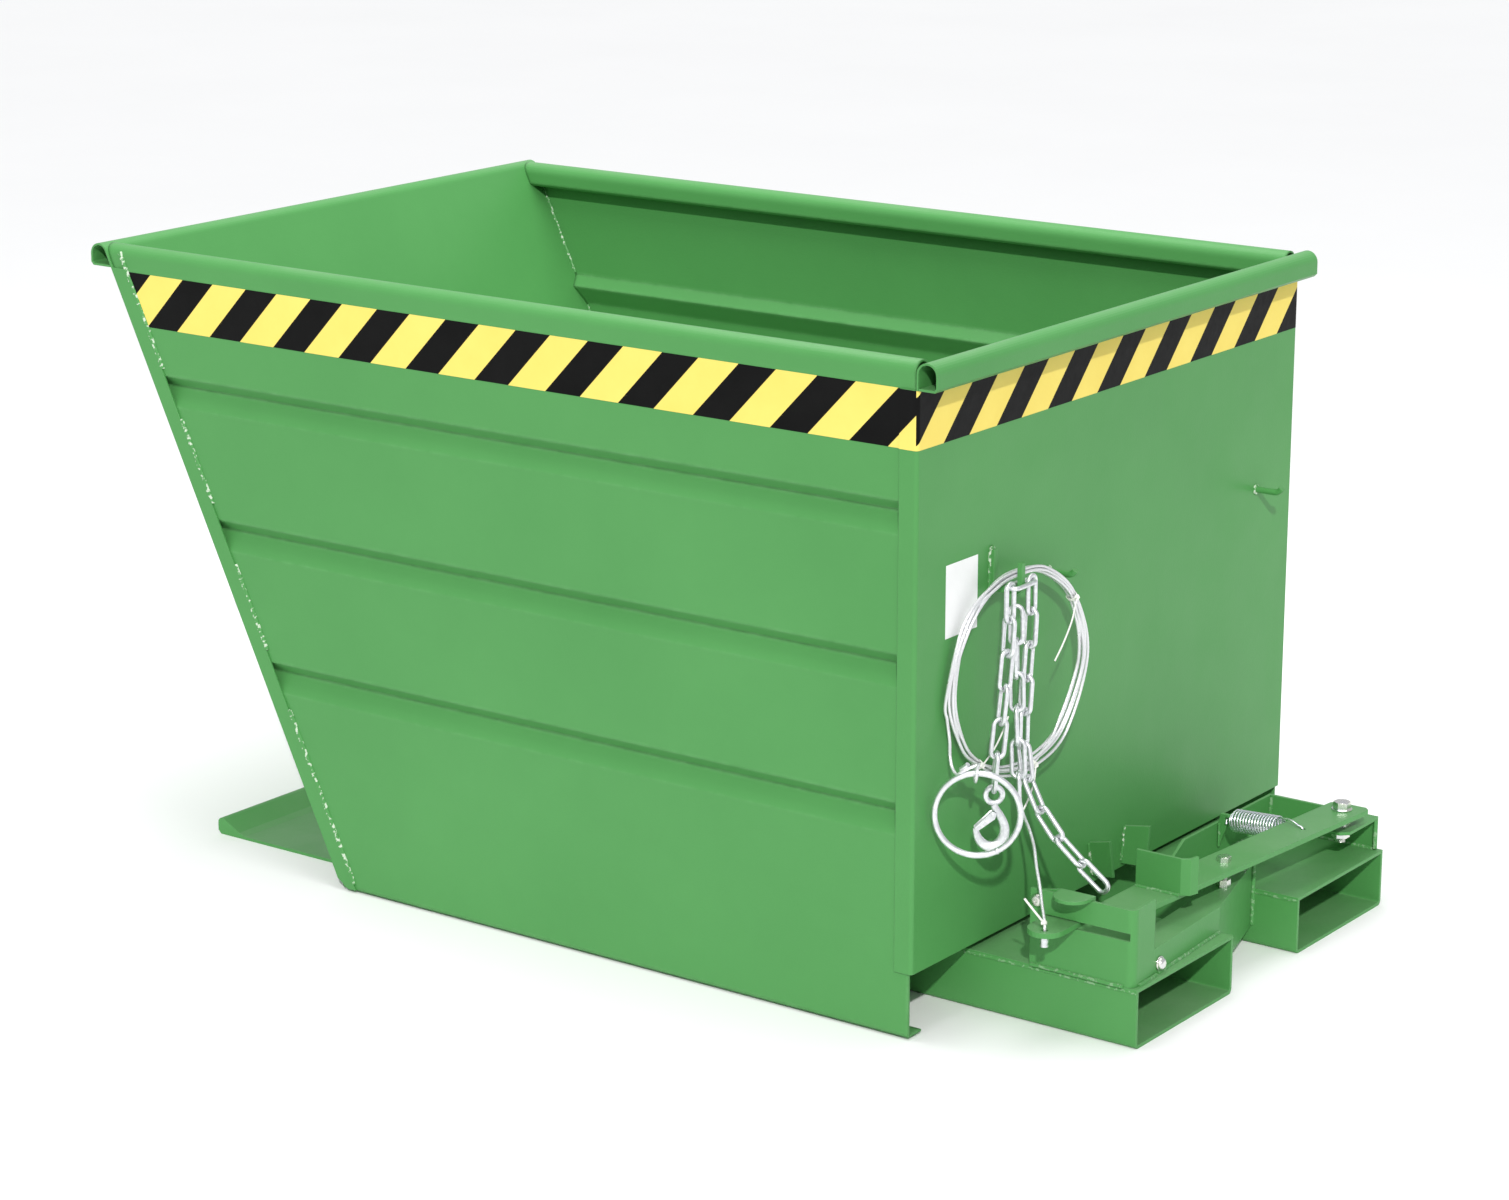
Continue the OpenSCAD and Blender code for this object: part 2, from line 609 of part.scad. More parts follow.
module safety_chain() {
    color(zinc) seat() {
        translate([finger_x, hook_y, top_link_z]) rotate([90, 0, 0]) link();
        chain_run(hung_a, run_a, hook_turn / (len(run_a) - 1));
        chain_run(hung_b, run_b, 0);
    }
}
hook_at = chain_end(hung_a, run_a);
eye_r = 12;
hook_thick = 7;
bowl_z = -66;
module at_hook() { translate(hook_at) rotate([0, 0, hook_turn]) children(); }
module hook_shape() {
    mirror([1, 0]) difference() {
        union() {
            translate([0, -eye_r + 3.5]) circle(r = eye_r + 3);
            translate([-9, -44]) square([16, 28]);
            difference() {
                translate([4, bowl_z]) circle(r = 28);
                translate([6, bowl_z + 2]) circle(r = 15);
                translate([8, bowl_z + 6]) square([40, 50]);
            }
            translate([24, bowl_z + 4]) circle(r = 8);
        }
        translate([0, -eye_r + 3.5]) circle(r = eye_r - 2);
    }
}
gate_at = [-1, -38];
module sling_hook() {
    color(zinc) seat() at_hook() difference() {
        along_x(-hook_thick / 2, hook_thick / 2) hook_shape();
        rotate([0, 90, 0]) translate([-gate_at[1], gate_at[0], -10]) cylinder(h = 20, r = 2 + run_gap);
    }
}
module hook_gate() {
    color(zinc) seat() at_hook() for (s = [-1, 1]) difference() {
        translate([s * (hook_thick / 2 + 1.3) - 1, 0, 0]) rotate([90, 0, 90]) linear_extrude(2)
            polygon([[5, -34], [-4, -33], [-28, -56], [-25, -61], [2, -43]]);
        translate([-10, gate_at[0], gate_at[1]]) rotate([0, 90, 0]) cylinder(h = 20, r = 2 + run_gap);
    }
}
module gate_pin() {
    color(zinc) seat() at_hook() translate([-hook_thick / 2 - 3.5, gate_at[0], gate_at[1]])
        rotate([0, 90, 0]) cylinder(h = hook_thick + 7, r = 2);
}

// ---- Pull cable ----
cable_d = 5;
coil_out = 162;
coil_in = 136;
coil_shift = 12;
coil_t = 15;
coil_turn = -7;
coil_x = 28;
coil_y = -314;
coil_gap = 0.1;
coil_c = [coil_x, coil_y, hook_low + hook_arm + coil_gap - coil_shift
    - sqrt(coil_in ^ 2 - (coil_y - hook_y + hook_t) ^ 2)];
lever_route = [[28, -314, 333.5], [29, -315, 320], [35, -318, 306], [48, -324, 291], [64, -334, 276],
    [81, -348, 258], [98, -368, 238], [116, -387, 217], [133, -407, 198], [145, -420, 183], [150, -426, 171]];
ring_route = [[12, -444.5, 400], [12, -453, 396], [14, -463, 392], [22, -473, 390], [34, -477, 396],
    [46, -478, 403], [56, -475, 407], [61, -471, 407], [62, -469, 402.7]];
module at_coil() { translate(coil_c) rotate([0, 0, coil_turn]) rotate([90, 0, 90]) children(); }
module cable_coil() {
    color(zinc) seat() at_coil() translate([0, 0, -coil_t / 2]) linear_extrude(coil_t) difference() {
        circle(r = coil_out);
        translate([0, coil_shift]) circle(r = coil_in);
    }
}
module lever_cable() {
    color(zinc) seat() tube(lever_route, cable_d / 2, 8, [for (p = lever_route) [0.1, 1, 0.3]]);
}
module ring_cable() {
    color(zinc) seat() tube(ring_route, cable_d / 2, 8, [for (p = ring_route) [0.2, 0.1, 1]]);
}
ring_c = [62, -469, 335];
ring_turn = -57;
ring_wire = 9;
ring_d = 130;
module pull_ring() {
    color(zinc) seat() translate(ring_c) rotate([0, 0, ring_turn]) rotate([0, 90, 0])
        rotate_extrude($fn = 72) translate([(ring_d - ring_wire) / 2, 0]) circle(r = ring_wire / 2);
}
tie_angles = [38, 232, 283];
module cable_ties() {
    color("white") seat() at_coil() for (a = tie_angles) rotate([0, 0, a])
        translate([coil_out - 12, 0, coil_t / 2 + 2.3]) cube([8, 6, 4], center = true);
}

ground_plate();
fork_channel_left();
fork_channel_right();
fork_top_left();
fork_top_right();
rest_pads();
pivot_lugs();
pivot_bushes();
near_bracket();
cross_member();
far_upstand();
rear_web();
spring_anchor();
bracket_screws();
member_bolt();
lever_pivot_bolt();
lever_pivot_nut();
latch_lever();
lever_tab();
glide_bolt();
cable_ferrule();
latch_spring();
safety_pawl();
pawl_bolt();
side_wall_left();
side_wall_right();
rear_wall();
front_wall();
floor_sheet();
floor_channels();
pivot_hangers();
pivot_axle();
axle_washers();
split_pins();
catch_lugs();
rope_hook();
bar_hooks();
hazard_tape_left();
hazard_tape_right();
hazard_tape_rear();
blank_label();
safety_chain();
sling_hook();
hook_gate();
gate_pin();
cable_coil();
lever_cable();
ring_cable();
pull_ring();
cable_ties();
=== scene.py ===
# %% [markdown]
# # A tipping skip for a fork-lift truck
# The skip is a bin of folded sheet steel on a welded base with two fork pockets. A sprung latch
# lever holds the bin down, and a pull cable works it from the driver's seat. The steel structure
# comes from the CAD model and is never moved here. This script adds what a welder, a rigger and a
# painter would add: weld beads, a wound spring, a forged hook, turned bolts, the cable in its coil,
# and the finish of every surface.

# %% Load the frame
import math
import random

import bpy
from mathutils import Matrix, Vector


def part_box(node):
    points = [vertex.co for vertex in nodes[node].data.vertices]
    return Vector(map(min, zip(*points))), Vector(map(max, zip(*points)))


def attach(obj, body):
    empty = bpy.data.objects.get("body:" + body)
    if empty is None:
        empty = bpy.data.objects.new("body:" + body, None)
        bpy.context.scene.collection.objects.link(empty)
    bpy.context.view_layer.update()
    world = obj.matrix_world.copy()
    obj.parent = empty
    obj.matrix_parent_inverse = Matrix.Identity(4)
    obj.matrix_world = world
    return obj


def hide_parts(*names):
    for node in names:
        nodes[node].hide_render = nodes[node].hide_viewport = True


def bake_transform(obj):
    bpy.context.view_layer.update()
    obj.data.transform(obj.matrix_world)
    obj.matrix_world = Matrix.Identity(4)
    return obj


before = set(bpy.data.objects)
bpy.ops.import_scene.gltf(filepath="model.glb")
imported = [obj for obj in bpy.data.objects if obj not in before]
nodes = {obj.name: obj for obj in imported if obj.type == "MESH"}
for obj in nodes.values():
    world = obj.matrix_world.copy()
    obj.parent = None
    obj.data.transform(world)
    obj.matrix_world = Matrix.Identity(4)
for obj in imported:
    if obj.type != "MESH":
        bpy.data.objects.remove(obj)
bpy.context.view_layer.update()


# %% [markdown]
# A maker works from one datum. On this skip it is the outer face of the rear wall: x is measured
# from there, y from the middle and z from the ground, all in millimetres. The blank label is stuck
# on that face, so the label's back tells where the face is.

# %% Datum and units
mm = 0.001
rear_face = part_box("blank_label")[0].x
UP = Vector((0, 0, 1))


def at(x, y, z):
    return Vector((rear_face + x * mm, y * mm, z * mm))


print("rear face at x =", round(rear_face, 4))

# %% [markdown]
# The camera stands a little above the rim, well back, with a long lens, so the bin's edges stay
# almost parallel. It is placed by two points: where it stands and what it looks at.

# %% Camera
camera_place = Vector((3.4464, -4.7249, 2.0318))
camera_aim = Vector((-0.0135, 0, 0.4243))
camera_data = bpy.data.cameras.new("camera")
camera_data.lens = 90.5
camera_data.sensor_width = 36
camera_data.clip_end = 200
camera = bpy.data.objects.new("camera", camera_data)
bpy.context.scene.collection.objects.link(camera)
camera.location = camera_place
camera.rotation_euler = (camera_aim - camera_place).to_track_quat("-Z", "Y").to_euler()
bpy.context.scene.camera = camera
print("camera", [round(v, 3) for v in camera.location])

# %% [markdown]
# Most new pieces start from a primitive added by an operator. An operator acts on all that is
# selected, so each helper deselects everything first. What is bent from cable, wire or forged bar is
# swept along a line instead. A finished piece keeps its place in its mesh and its object at the
# origin, so patterns on object coordinates stay where they are.

# %% Helpers for modelling by hand
def select_only(*objs):
    bpy.ops.object.select_all(action="DESELECT")
    for obj in objs:
        obj.select_set(True)
    bpy.context.view_layer.objects.active = objs[0]


def primitive(operator, name, **settings):
    bpy.ops.object.select_all(action="DESELECT")
    operator(**settings)
    obj = bpy.context.object
    obj.name = name
    obj.data.name = name
    return obj


def edit(obj, faces=None, verts=None):
    """Goes into edit mode with only the elements that the given test picks."""
    select_only(obj)
    mesh = obj.data
    bpy.ops.object.mode_set(mode="EDIT")
    bpy.ops.mesh.select_all(action="DESELECT")
    bpy.ops.mesh.select_mode(type="FACE" if faces else "VERT")
    bpy.ops.object.mode_set(mode="OBJECT")
    if faces:
        for face in mesh.polygons:
            face.select = faces(face)
    if verts:
        for vertex in mesh.vertices:
            vertex.select = verts(vertex.co)
    bpy.ops.object.mode_set(mode="EDIT")


def done():
    bpy.ops.object.mode_set(mode="OBJECT")


def modifier(obj, kind, **settings):
    select_only(obj)
    made = obj.modifiers.new(kind.lower(), kind)
    for name, value in settings.items():
        setattr(made, name, value)
    bpy.ops.object.modifier_apply(modifier=made.name)


def smooth(obj, angle=35):
    select_only(obj)
    bpy.ops.object.shade_smooth_by_angle(angle=math.radians(angle))


def place(obj, matrix):
    """Moves the mesh itself, so the object stays at the origin."""
    obj.data.transform(matrix)
    obj.data.update()
    return obj


def copy_of(obj, name):
    made = obj.copy()
    made.data = obj.data.copy()
    made.name = name
    made.data.name = name
    bpy.context.scene.collection.objects.link(made)
    return made


def join(name, objs):
    select_only(*objs)
    bpy.ops.object.join()
    made = bpy.context.object
    made.name = name
    made.data.name = name
    return made


def axes(origin, along, side_hint):
    """A matrix that lays local X on 'along' and local Z near 'side_hint'."""
    x = along.normalized()
    y = side_hint.cross(x).normalized()
    z = x.cross(y)
    return Matrix.Translation(origin) @ Matrix((x, y, z)).transposed().to_4x4()


def smooth_line(points, step, pieces=24):
    """Points an even step apart on one smooth curve through the given points."""
    ends = [points[0] * 2 - points[1]] + list(points) + [points[-1] * 2 - points[-2]]
    fine = []
    for a, b, c, d in zip(ends, ends[1:], ends[2:], ends[3:]):
        for i in range(pieces):
            t = i / pieces
            fine.append(0.5 * (2 * b + (c - a) * t + (2 * a - 5 * b + 4 * c - d) * t ** 2
                               + (3 * b - a - 3 * c + d) * t ** 3))
    fine.append(points[-1])
    even = [fine[0]]
    walked = 0.0
    for a, b in zip(fine, fine[1:]):
        gap = (b - a).length
        while walked + gap >= step * len(even):
            even.append(a.lerp(b, (step * len(even) - walked) / gap))
        walked += gap
    return even


def length_of(line):
    return sum((b - a).length for a, b in zip(line, line[1:]))


def swept(name, line, section, twist=0.0):
    """A tube whose cross-section (radius for an angle) follows a line, with a map of its length."""
    sides = len(section)
    verts, faces, uvs = [], [], []
    normal = (line[1] - line[0]).orthogonal().normalized()
    run = 0.0
    for i, point in enumerate(line):
        ahead = (line[min(i + 1, len(line) - 1)] - line[max(i - 1, 0)]).normalized()
        normal = (normal - ahead * normal.dot(ahead)).normalized()
        side = ahead.cross(normal)
        if i:
            run += (point - line[i - 1]).length
        for k, radius in enumerate(section):
            a = 2 * math.pi * k / sides + twist * run
            verts.append(point + (normal * math.cos(a) + side * math.sin(a)) * radius)
    for i in range(len(line) - 1):
        for k in range(sides):
            n = (k + 1) % sides
            faces.append((i * sides + k, i * sides + n, (i + 1) * sides + n, (i + 1) * sides + k))
            uvs += [(k / sides, i), ((k + 1) / sides, i), ((k + 1) / sides, i + 1), (k / sides, i + 1)]
    last = (len(line) - 1) * sides
    faces += [tuple(reversed(range(sides))), tuple(range(last, last + sides))]
    uvs += [(0, 0)] * (2 * sides)
    mesh = bpy.data.meshes.new(name)
    mesh.from_pydata([tuple(v) for v in verts], [], faces)
    step = run / (len(line) - 1)
    layer = mesh.uv_layers.new(name="lay")
    layer.data.foreach_set("uv", [v for u, w in uvs for v in (u, w * step)])
    mesh.update()
    obj = bpy.data.objects.new(name, mesh)
    bpy.context.scene.collection.objects.link(obj)
    smooth(obj, 50)
    return obj


print("helpers ready")

# %% [markdown]
# The pull cable is one piece: from the stop under the lever's tongue it climbs to the coil, makes
# five turns that hang on the arm of the rope hook, and ends in an eye round the pull ring. Spare
# cable never hangs as a perfect ring. The turns lie tight where the hook or a tie gathers them and
# fan out between. So each turn is steered through stations at fixed angles, each with its own
# distance from the coil's middle and its own place across the bundle.

# %% Pull cable, from the lever to the coil
cable_thick = 5 * mm
coil_low, coil_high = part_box("cable_coil")
coil_off_wall, coil_across = 28, -314
coil_turn = math.radians(7)
coil_middle = at(coil_off_wall, coil_across, 0)
coil_middle.z = (coil_low.z + coil_high.z) / 2
coil_side = Vector((math.sin(coil_turn), math.cos(coil_turn), 0))
coil_face = Vector((math.cos(coil_turn), -math.sin(coil_turn), 0))


def on_coil(angle, radius, across=0.0):
    a = math.radians(angle)
    return (coil_middle + (coil_side * math.cos(a) + UP * math.sin(a)) * radius * mm
            + coil_face * across * mm)


lever_part = [(150, -426, 150), (150, -426, 158), (150, -426, 165), (150, -426, 171), (145, -420, 183),
              (133, -407, 198), (116, -387, 217), (98, -368, 238), (81, -348, 258), (64, -334, 276),
              (48, -324, 291), (37, -318, 306), (32, -314, 320)]
cable_points = [at(*p) for p in lever_part]
cable_points += [on_coil(277, 152, 1), on_coil(289, 142, 1), on_coil(300, 136, 0)]

print("coil middle", [round(v, 3) for v in coil_middle])

# %% [markdown]
# Five turns could be five rings, but spare cable shows how it was gathered. The table says where each
# turn passes each angle of the coil. The turns lie packed at 38 and 232 degrees, where ties hold them,
# and near 90 degrees, where they rest on the hook's arm.

# %% Stations of the five turns
# angle: (radius, place across) of turn 1 to 5, in millimetres
stations = {
    315: [(131, 0), (136.5, -3), (137.5, 3), (146, 0), (157, 0)],
    0: [(139, -1), (144.5, -4), (145, 3), (151.5, 0), (158.5, 0)],
    38: [(148, -2.7), (148, 2.7), (153, -2.7), (153, 2.7), (157.6, 0)],
    68: [(150.6, -4), (150.6, 1), (154, 5), (155.6, -2), (158.6, 2)],
    90: [(150.8, -5), (150.8, 0.1), (151.5, 5.1), (155.8, -2.6), (156, 2.6)],
    112: [(150.4, -4), (150.4, 1), (152, 5), (155.6, -2), (157.6, 2)],
    140: [(146, -3), (146.5, 3), (151.5, -4), (153, 2), (158.4, 0)],
    180: [(139.5, 0), (144.8, -2.5), (147, 3), (153, 0), (158.6, 0)],
    212: [(138, -2), (141.5, 2.5), (145, -3), (149.5, 2.5), (157, 0)],
    232: [(139, -2.7), (139, 2.7), (144, -2.7), (144, 2.7), (149, 0)],
    255: [(135, -2), (138.5, 3), (142, -3), (147, 2), (152, 0)],
    282: [(132, -1), (137, 3), (142, -1), (149, 2), (155, 0)],
}
last_turn = 4
for turn in range(last_turn + 1):
    for angle, places in stations.items():
        if turn == last_turn and 181 < angle < 300:
            continue
        cable_points.append(on_coil(angle, *places[turn]))
print("turn stations", len(cable_points))

# %% [markdown]
# The cable leaves the coil at its left, drops a little, comes forward and goes through the ring. Its
# end is brought back and crimped to itself, which makes the eye that holds the ring. The cable's
# section is a circle with a shallow dent between strands, and it turns once in each lay length.

# %% Pull cable, the eye round the ring
ring_top = at(62, -469, 395.5)
ring_turn = math.radians(57)
ring_face = Vector((math.cos(ring_turn), -math.sin(ring_turn), 0))
ring_along = UP.cross(ring_face)
eye, eye_shift = 12 * mm, -6 * mm
cable_points += [on_coil(192, 159.2, 0), at(15, -471, 436), at(18, -474, 414), at(25, -478, 398)]
cable_points += [at(35, -481, 392), at(45, -481, 399)]
eye_from, eye_to, eye_step = 100, -200, -30
for angle in range(eye_from, eye_to - 1, eye_step):
    a = math.radians(angle)
    cable_points.append(ring_top + (ring_face * math.cos(a) + UP * math.sin(a)) * eye
                        + ring_along * (eye_from - angle) / (eye_from - eye_to) * eye_shift)
cable_line = smooth_line(cable_points, 3.6 * mm)
strands, section_sides, dent = 6, 24, 0.035
lay_length = 42 * mm
cable_section = [cable_thick / 2 * (1 - dent + dent * math.cos(2 * math.pi * strands * k / section_sides))
                 for k in range(section_sides)]
pull_cable = swept("pull_cable", cable_line, cable_section, twist=2 * math.pi / lay_length)
bends = [((b - a).length / max((b - a).angle(c - b), 1e-6), b)
         for a, b, c in zip(cable_line, cable_line[1:], cable_line[2:])]

# %% [markdown]
# Three nylon ties gather the coil and a fourth is on the cable above the lever. A tie is a flat strap
# pulled through its head, with its tail left standing out. The strap starts as an open cylinder,
# squeezed to the oval of the bundle, and Solidify gives it its thickness. The head is a bevelled block
# with a sunk face, and the tail is a thin strip swept along a curve.

# %% Cable ties
def cable_tie(name, middle, along, toward, girth, tail_to):
    """A strap round a bundle at 'middle' that runs 'along'; its head sits on the side 'toward'."""
    strap = primitive(bpy.ops.mesh.primitive_cylinder_add, name, vertices=28, radius=girth,
                      depth=4.6 * mm, end_fill_type="NOTHING")
    place(strap, Matrix.Diagonal((1, 0.85, 1, 1)))
    modifier(strap, "SOLIDIFY", thickness=1.1 * mm, offset=0)
    modifier(strap, "BEVEL", width=0.25 * mm, segments=2, limit_method="ANGLE")
    head = primitive(bpy.ops.mesh.primitive_cube_add, name + "_head", size=1)
    place(head, Matrix.Diagonal((4.6 * mm, 7 * mm, 6.8 * mm, 1)))
    edit(head, faces=lambda face: face.normal.x > 0.9)
    bpy.ops.mesh.inset(thickness=1.1 * mm)
    bpy.ops.transform.translate(value=(-0.8 * mm, 0, 0))
    done()
    modifier(head, "BEVEL", width=0.6 * mm, segments=2, limit_method="ANGLE")
    place(head, Matrix.Translation((girth + 0.8 * mm, 0, 0)))
    whole = join(name, [strap, head])
    along = along.normalized()
    toward = (toward - along * toward.dot(along)).normalized()
    across = along.cross(toward)
    place(whole, Matrix.Translation(middle) @ Matrix((toward, across, along)).transposed().to_4x4())
    root = middle + toward * (girth + mm)
    line = smooth_line([root, root.lerp(tail_to, 0.35) + toward * 5 * mm,
                        root.lerp(tail_to, 0.7) + toward * 4 * mm, tail_to], 4 * mm)
    strip = swept(name + "_tail", line, [2.2 * mm if k % 4 else 1.4 * mm for k in range(8)])
    wide = (line[-1] - line[0]).cross(toward).normalized()
    for vertex in strip.data.vertices:
        near = min(line, key=lambda p: (p - vertex.co).length_squared)
        off = vertex.co - near
        vertex.co = near + wide * off.dot(wide) + (off - wide * off.dot(wide)) * 0.4
    return join(name, [whole, strip])


def coil_tie(name, angle, radius, tail_to):
    a = math.radians(angle)
    along = UP * math.cos(a) - coil_side * math.sin(a)
    return cable_tie(name, on_coil(angle, radius), along, coil_face, 8.6 * mm, tail_to)


tie_upper = coil_tie("cable_tie_upper", 38, 151, at(50, -252, 505))
tie_lower = coil_tie("cable_tie_lower", 232, 143.5, at(44, -362, 452))
tie_left = coil_tie("cable_tie_left", 283, 144, at(50, -330, 300))
tie_lever = cable_tie("cable_tie_lever", at(147, -422.5, 178), Vector((-6, 8, 15)),
                      Vector((0.4, -1, 0)), 4 * mm, at(136, -462, 226))
ties = [tie_upper, tie_lower, tie_left, tie_lever]
print("ties", [len(tie.data.polygons) for tie in ties])

# %% [markdown]
# A crimp sleeve is a short length of soft tube pressed tight on the cable in two or three places. It
# is modelled as a capped cylinder. Its caps are cut into four-sided faces, and bisect cuts it into
# rings. A sine, raised to a high power so that each press stays narrow, draws the rings in, and the
# whole is scaled to its size.

# %% Crimp sleeves
def crimp_sleeve(name, middle, along, length, wide, thick, presses=3):
    sleeve = primitive(bpy.ops.mesh.primitive_cylinder_add, name, vertices=28, radius=0.5, depth=1)
    edit(sleeve, faces=lambda face: True)
    bpy.ops.mesh.quads_convert_to_tris()
    bpy.ops.mesh.tris_convert_to_quads()
    done()
    levels = presses * 4
    for i in range(1, levels):
        edit(sleeve, verts=lambda co: True)
        bpy.ops.mesh.bisect(plane_co=(0, 0, i / levels - 0.5), plane_no=(0, 0, 1))
        done()
    for vertex in sleeve.data.vertices:
        phase = (vertex.co.z + 0.5) * presses
        pressed = 1 - 0.13 * math.sin(math.pi * (phase % 1)) ** 4
        vertex.co.x *= pressed
    modifier(sleeve, "BEVEL", width=0.03, segments=2, limit_method="ANGLE", angle_limit=math.radians(60))
    place(sleeve, Matrix.Diagonal((wide, thick, length, 1)))
    smooth(sleeve, 40)
    turn = Vector((0, 0, 1)).rotation_difference(along).to_matrix().to_4x4()
    return place(sleeve, Matrix.Translation(middle) @ turn)


stop_low, stop_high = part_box("cable_ferrule")
stop_thick = 12.6 * mm
stop_sleeve = crimp_sleeve("stop_sleeve", (stop_low + stop_high) / 2, UP, stop_high.z - stop_low.z,
                           stop_thick, stop_thick, 2)
eye_sleeve = crimp_sleeve("eye_sleeve", at(45, -477.5, 403.5), Vector((0.75, 0, 0.6)),
                          15 * mm, 8 * mm, 9 * mm)
print("sleeves made")

# %% [markdown]
# The latch spring is an extension spring. A helix is a formula: it turns at an even rate along its
# axis. One end is bent into a hook in the anchor plate on the base, and the other runs out straight
# and bends down into the lever. The spring spans the lever's joint.

# %% Latch spring
spring_a = at(90, 205, 150)
spring_b = at(232, 182, 165)
spring_axis = (spring_b - spring_a).normalized()
spring_up = (UP - spring_axis * spring_axis.z).normalized()
spring_side = spring_axis.cross(spring_up)
spring_wire, spring_mean, spring_turns = 3.4 * mm, 16.6 * mm, 16
body_from, body_to = 13 * mm, (spring_b - spring_a).length - 42 * mm
steps_in_turn = 24
anchor_end = ((1, -7, -6), (0, -4, 0), (0, 4, 1), (3, 8, 7), (8, 5, 11))
lever_end = ((-38, 3, 6), (-25, 2, 7), (-14, 0, 4.5), (-7, 0, 1.2), (-2.2, 0, 0), (-0.4, 0, -2.6),
             (0, 0, -9))


def wound(turn):
    """A point of the winding; its first and last half turns draw in towards the axis."""
    ends = min(turn, spring_turns - turn)
    radius = spring_mean * min(1, 0.72 + 0.56 * ends)
    a = 2 * math.pi * turn
    run = body_from + (body_to - body_from) * turn / spring_turns
    return (spring_a + spring_axis * run
            + (spring_up * math.cos(a) + spring_side * math.sin(a)) * radius)


hook_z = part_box("latch_lever")[1].z + spring_wire / 2 + 0.3 * mm
spring_line = [spring_a + Vector(v) * mm for v in anchor_end]
spring_line += [wound(i / steps_in_turn) for i in range(steps_in_turn * spring_turns + 1)]
for x, y, z in lever_end:
    spring_line.append(Vector((spring_b.x + x * mm, spring_b.y + y * mm, hook_z + z * mm)))
spring_line = smooth_line(spring_line, 2.2 * mm)
latch_spring = swept("latch_spring_wire", spring_line, [spring_wire / 2] * 12)
print("spring wire", round(length_of(spring_line), 2), "m")

# %% [markdown]
# The safety chain is longer than it needs to be, so a spare end hangs between its two runs. A link is
# bent from round bar: a ring cut in two and drawn apart. It is modelled once, and each copy is turned
# a quarter round its run, with a little slack that no two links share.

# %% Spare end of the chain
link_pitch = 48.7 * mm
link_wire = 7 * mm
link_out = 26 * mm
link_slack = 14
random.seed(4)
bend = (link_out - link_wire) / 2
first_link = primitive(bpy.ops.mesh.primitive_torus_add, "chain_link", major_radius=bend,
                       minor_radius=link_wire / 2, major_segments=32, minor_segments=14,
                       rotation=(math.pi / 2, 0, 0))
bpy.ops.object.transform_apply(location=False, rotation=True, scale=False)
draw_out = (link_pitch + link_wire) / 2 - bend
for vertex in first_link.data.vertices:
    vertex.co.z += math.copysign(draw_out, vertex.co.z)
smooth(first_link, 60)
spare_run = smooth_line([at(41, -345, 604), at(45, -347, 520), at(50, -349, 430), at(56, -352, 350),
                         at(64, -356, 270)], link_pitch)
spare_links = []
for i, (top, low) in enumerate(zip(spare_run, spare_run[1:])):
    link = copy_of(first_link, f"spare_link_{i}")
    turn = Matrix.Rotation(math.radians(35 + 90 * i + random.uniform(-link_slack, link_slack)), 4, "Z")
    hang = Vector((0, 0, -1)).rotation_difference(low - top).to_matrix().to_4x4()
    place(link, Matrix.Translation((top + low) / 2) @ hang @ turn)
    spare_links.append(link)
bpy.data.objects.remove(first_link)
chain_end = join("chain_spare_end", spare_links)
print("spare links", len(spare_links))

# %% [markdown]
# The sling hook is forged, so it has no sharp edge and its section swells at the bottom of the bowl.
# A sweep along its spine with a radius for each point gives that, squeezed a little across. The eye is
# a ring, squeezed in the same way.

# %% Sling hook
hook_home = at(51, -409.73, 354.52)
hook_turn = math.radians(-50)
hook_matrix = Matrix.Translation(hook_home) @ Matrix.Rotation(hook_turn, 4, "Z")


def hook_point(across, up):
    """A point of the hook's plane: across is towards its back, up is towards its eye."""
    return Vector((0, across * mm, up * mm))


hook_sides, hook_flat = 20, 0.62
# across, up and the radius there, in millimetres
spine = [(0, -23, 5.0), (3.5, -30, 5.4), (9, -39, 5.8), (14, -50, 6.4), (16.2, -61, 7.2), (14, -73, 8.0),
         (7.5, -82, 8.4), (-2.5, -85.6, 8.2), (-13, -82, 7.4), (-20.5, -74, 6.4), (-24.5, -64, 5.0),
         (-26.5, -56, 3.2)]
spine_line = smooth_line([Vector((x, y, r)) * mm for x, y, r in spine], 2.2 * mm)
hook_body = swept("sling_hook_body", [Vector((0, p.x, p.y)) for p in spine_line], [1.0] * hook_sides)
for i, vertex in enumerate(hook_body.data.vertices):
    centre = spine_line[min(i // hook_sides, len(spine_line) - 1)]
    middle = Vector((0, centre.x, centre.y))
    off = (vertex.co - middle) * centre.z
    off.x *= hook_flat
    vertex.co = middle + off
hook_eye = primitive(bpy.ops.mesh.primitive_torus_add, "sling_hook_eye", major_radius=12 * mm,
                     minor_radius=4.3 * mm, major_segments=40, minor_segments=14,
                     rotation=(0, math.pi / 2, 0))
bpy.ops.object.transform_apply(location=False, rotation=True, scale=False)
place(hook_eye, Matrix.Translation(hook_point(0, -8.5)) @ Matrix.Diagonal((0.8, 1, 1, 1)))
sling_hook = join("sling_hook_forged", [hook_body, hook_eye])
smooth(sling_hook, 60)
place(sling_hook, hook_matrix)
print("hook faces", len(sling_hook.data.polygons))

# %% [markdown]
# The gate is pressed from thin sheet, with two cheeks that straddle the hook. A cheek is a filled
# outline whose middle is pressed in: it is inset and the inner face is moved sideways. Solidify gives
# the sheet its thickness, and a small bevel takes off the sharp edges.

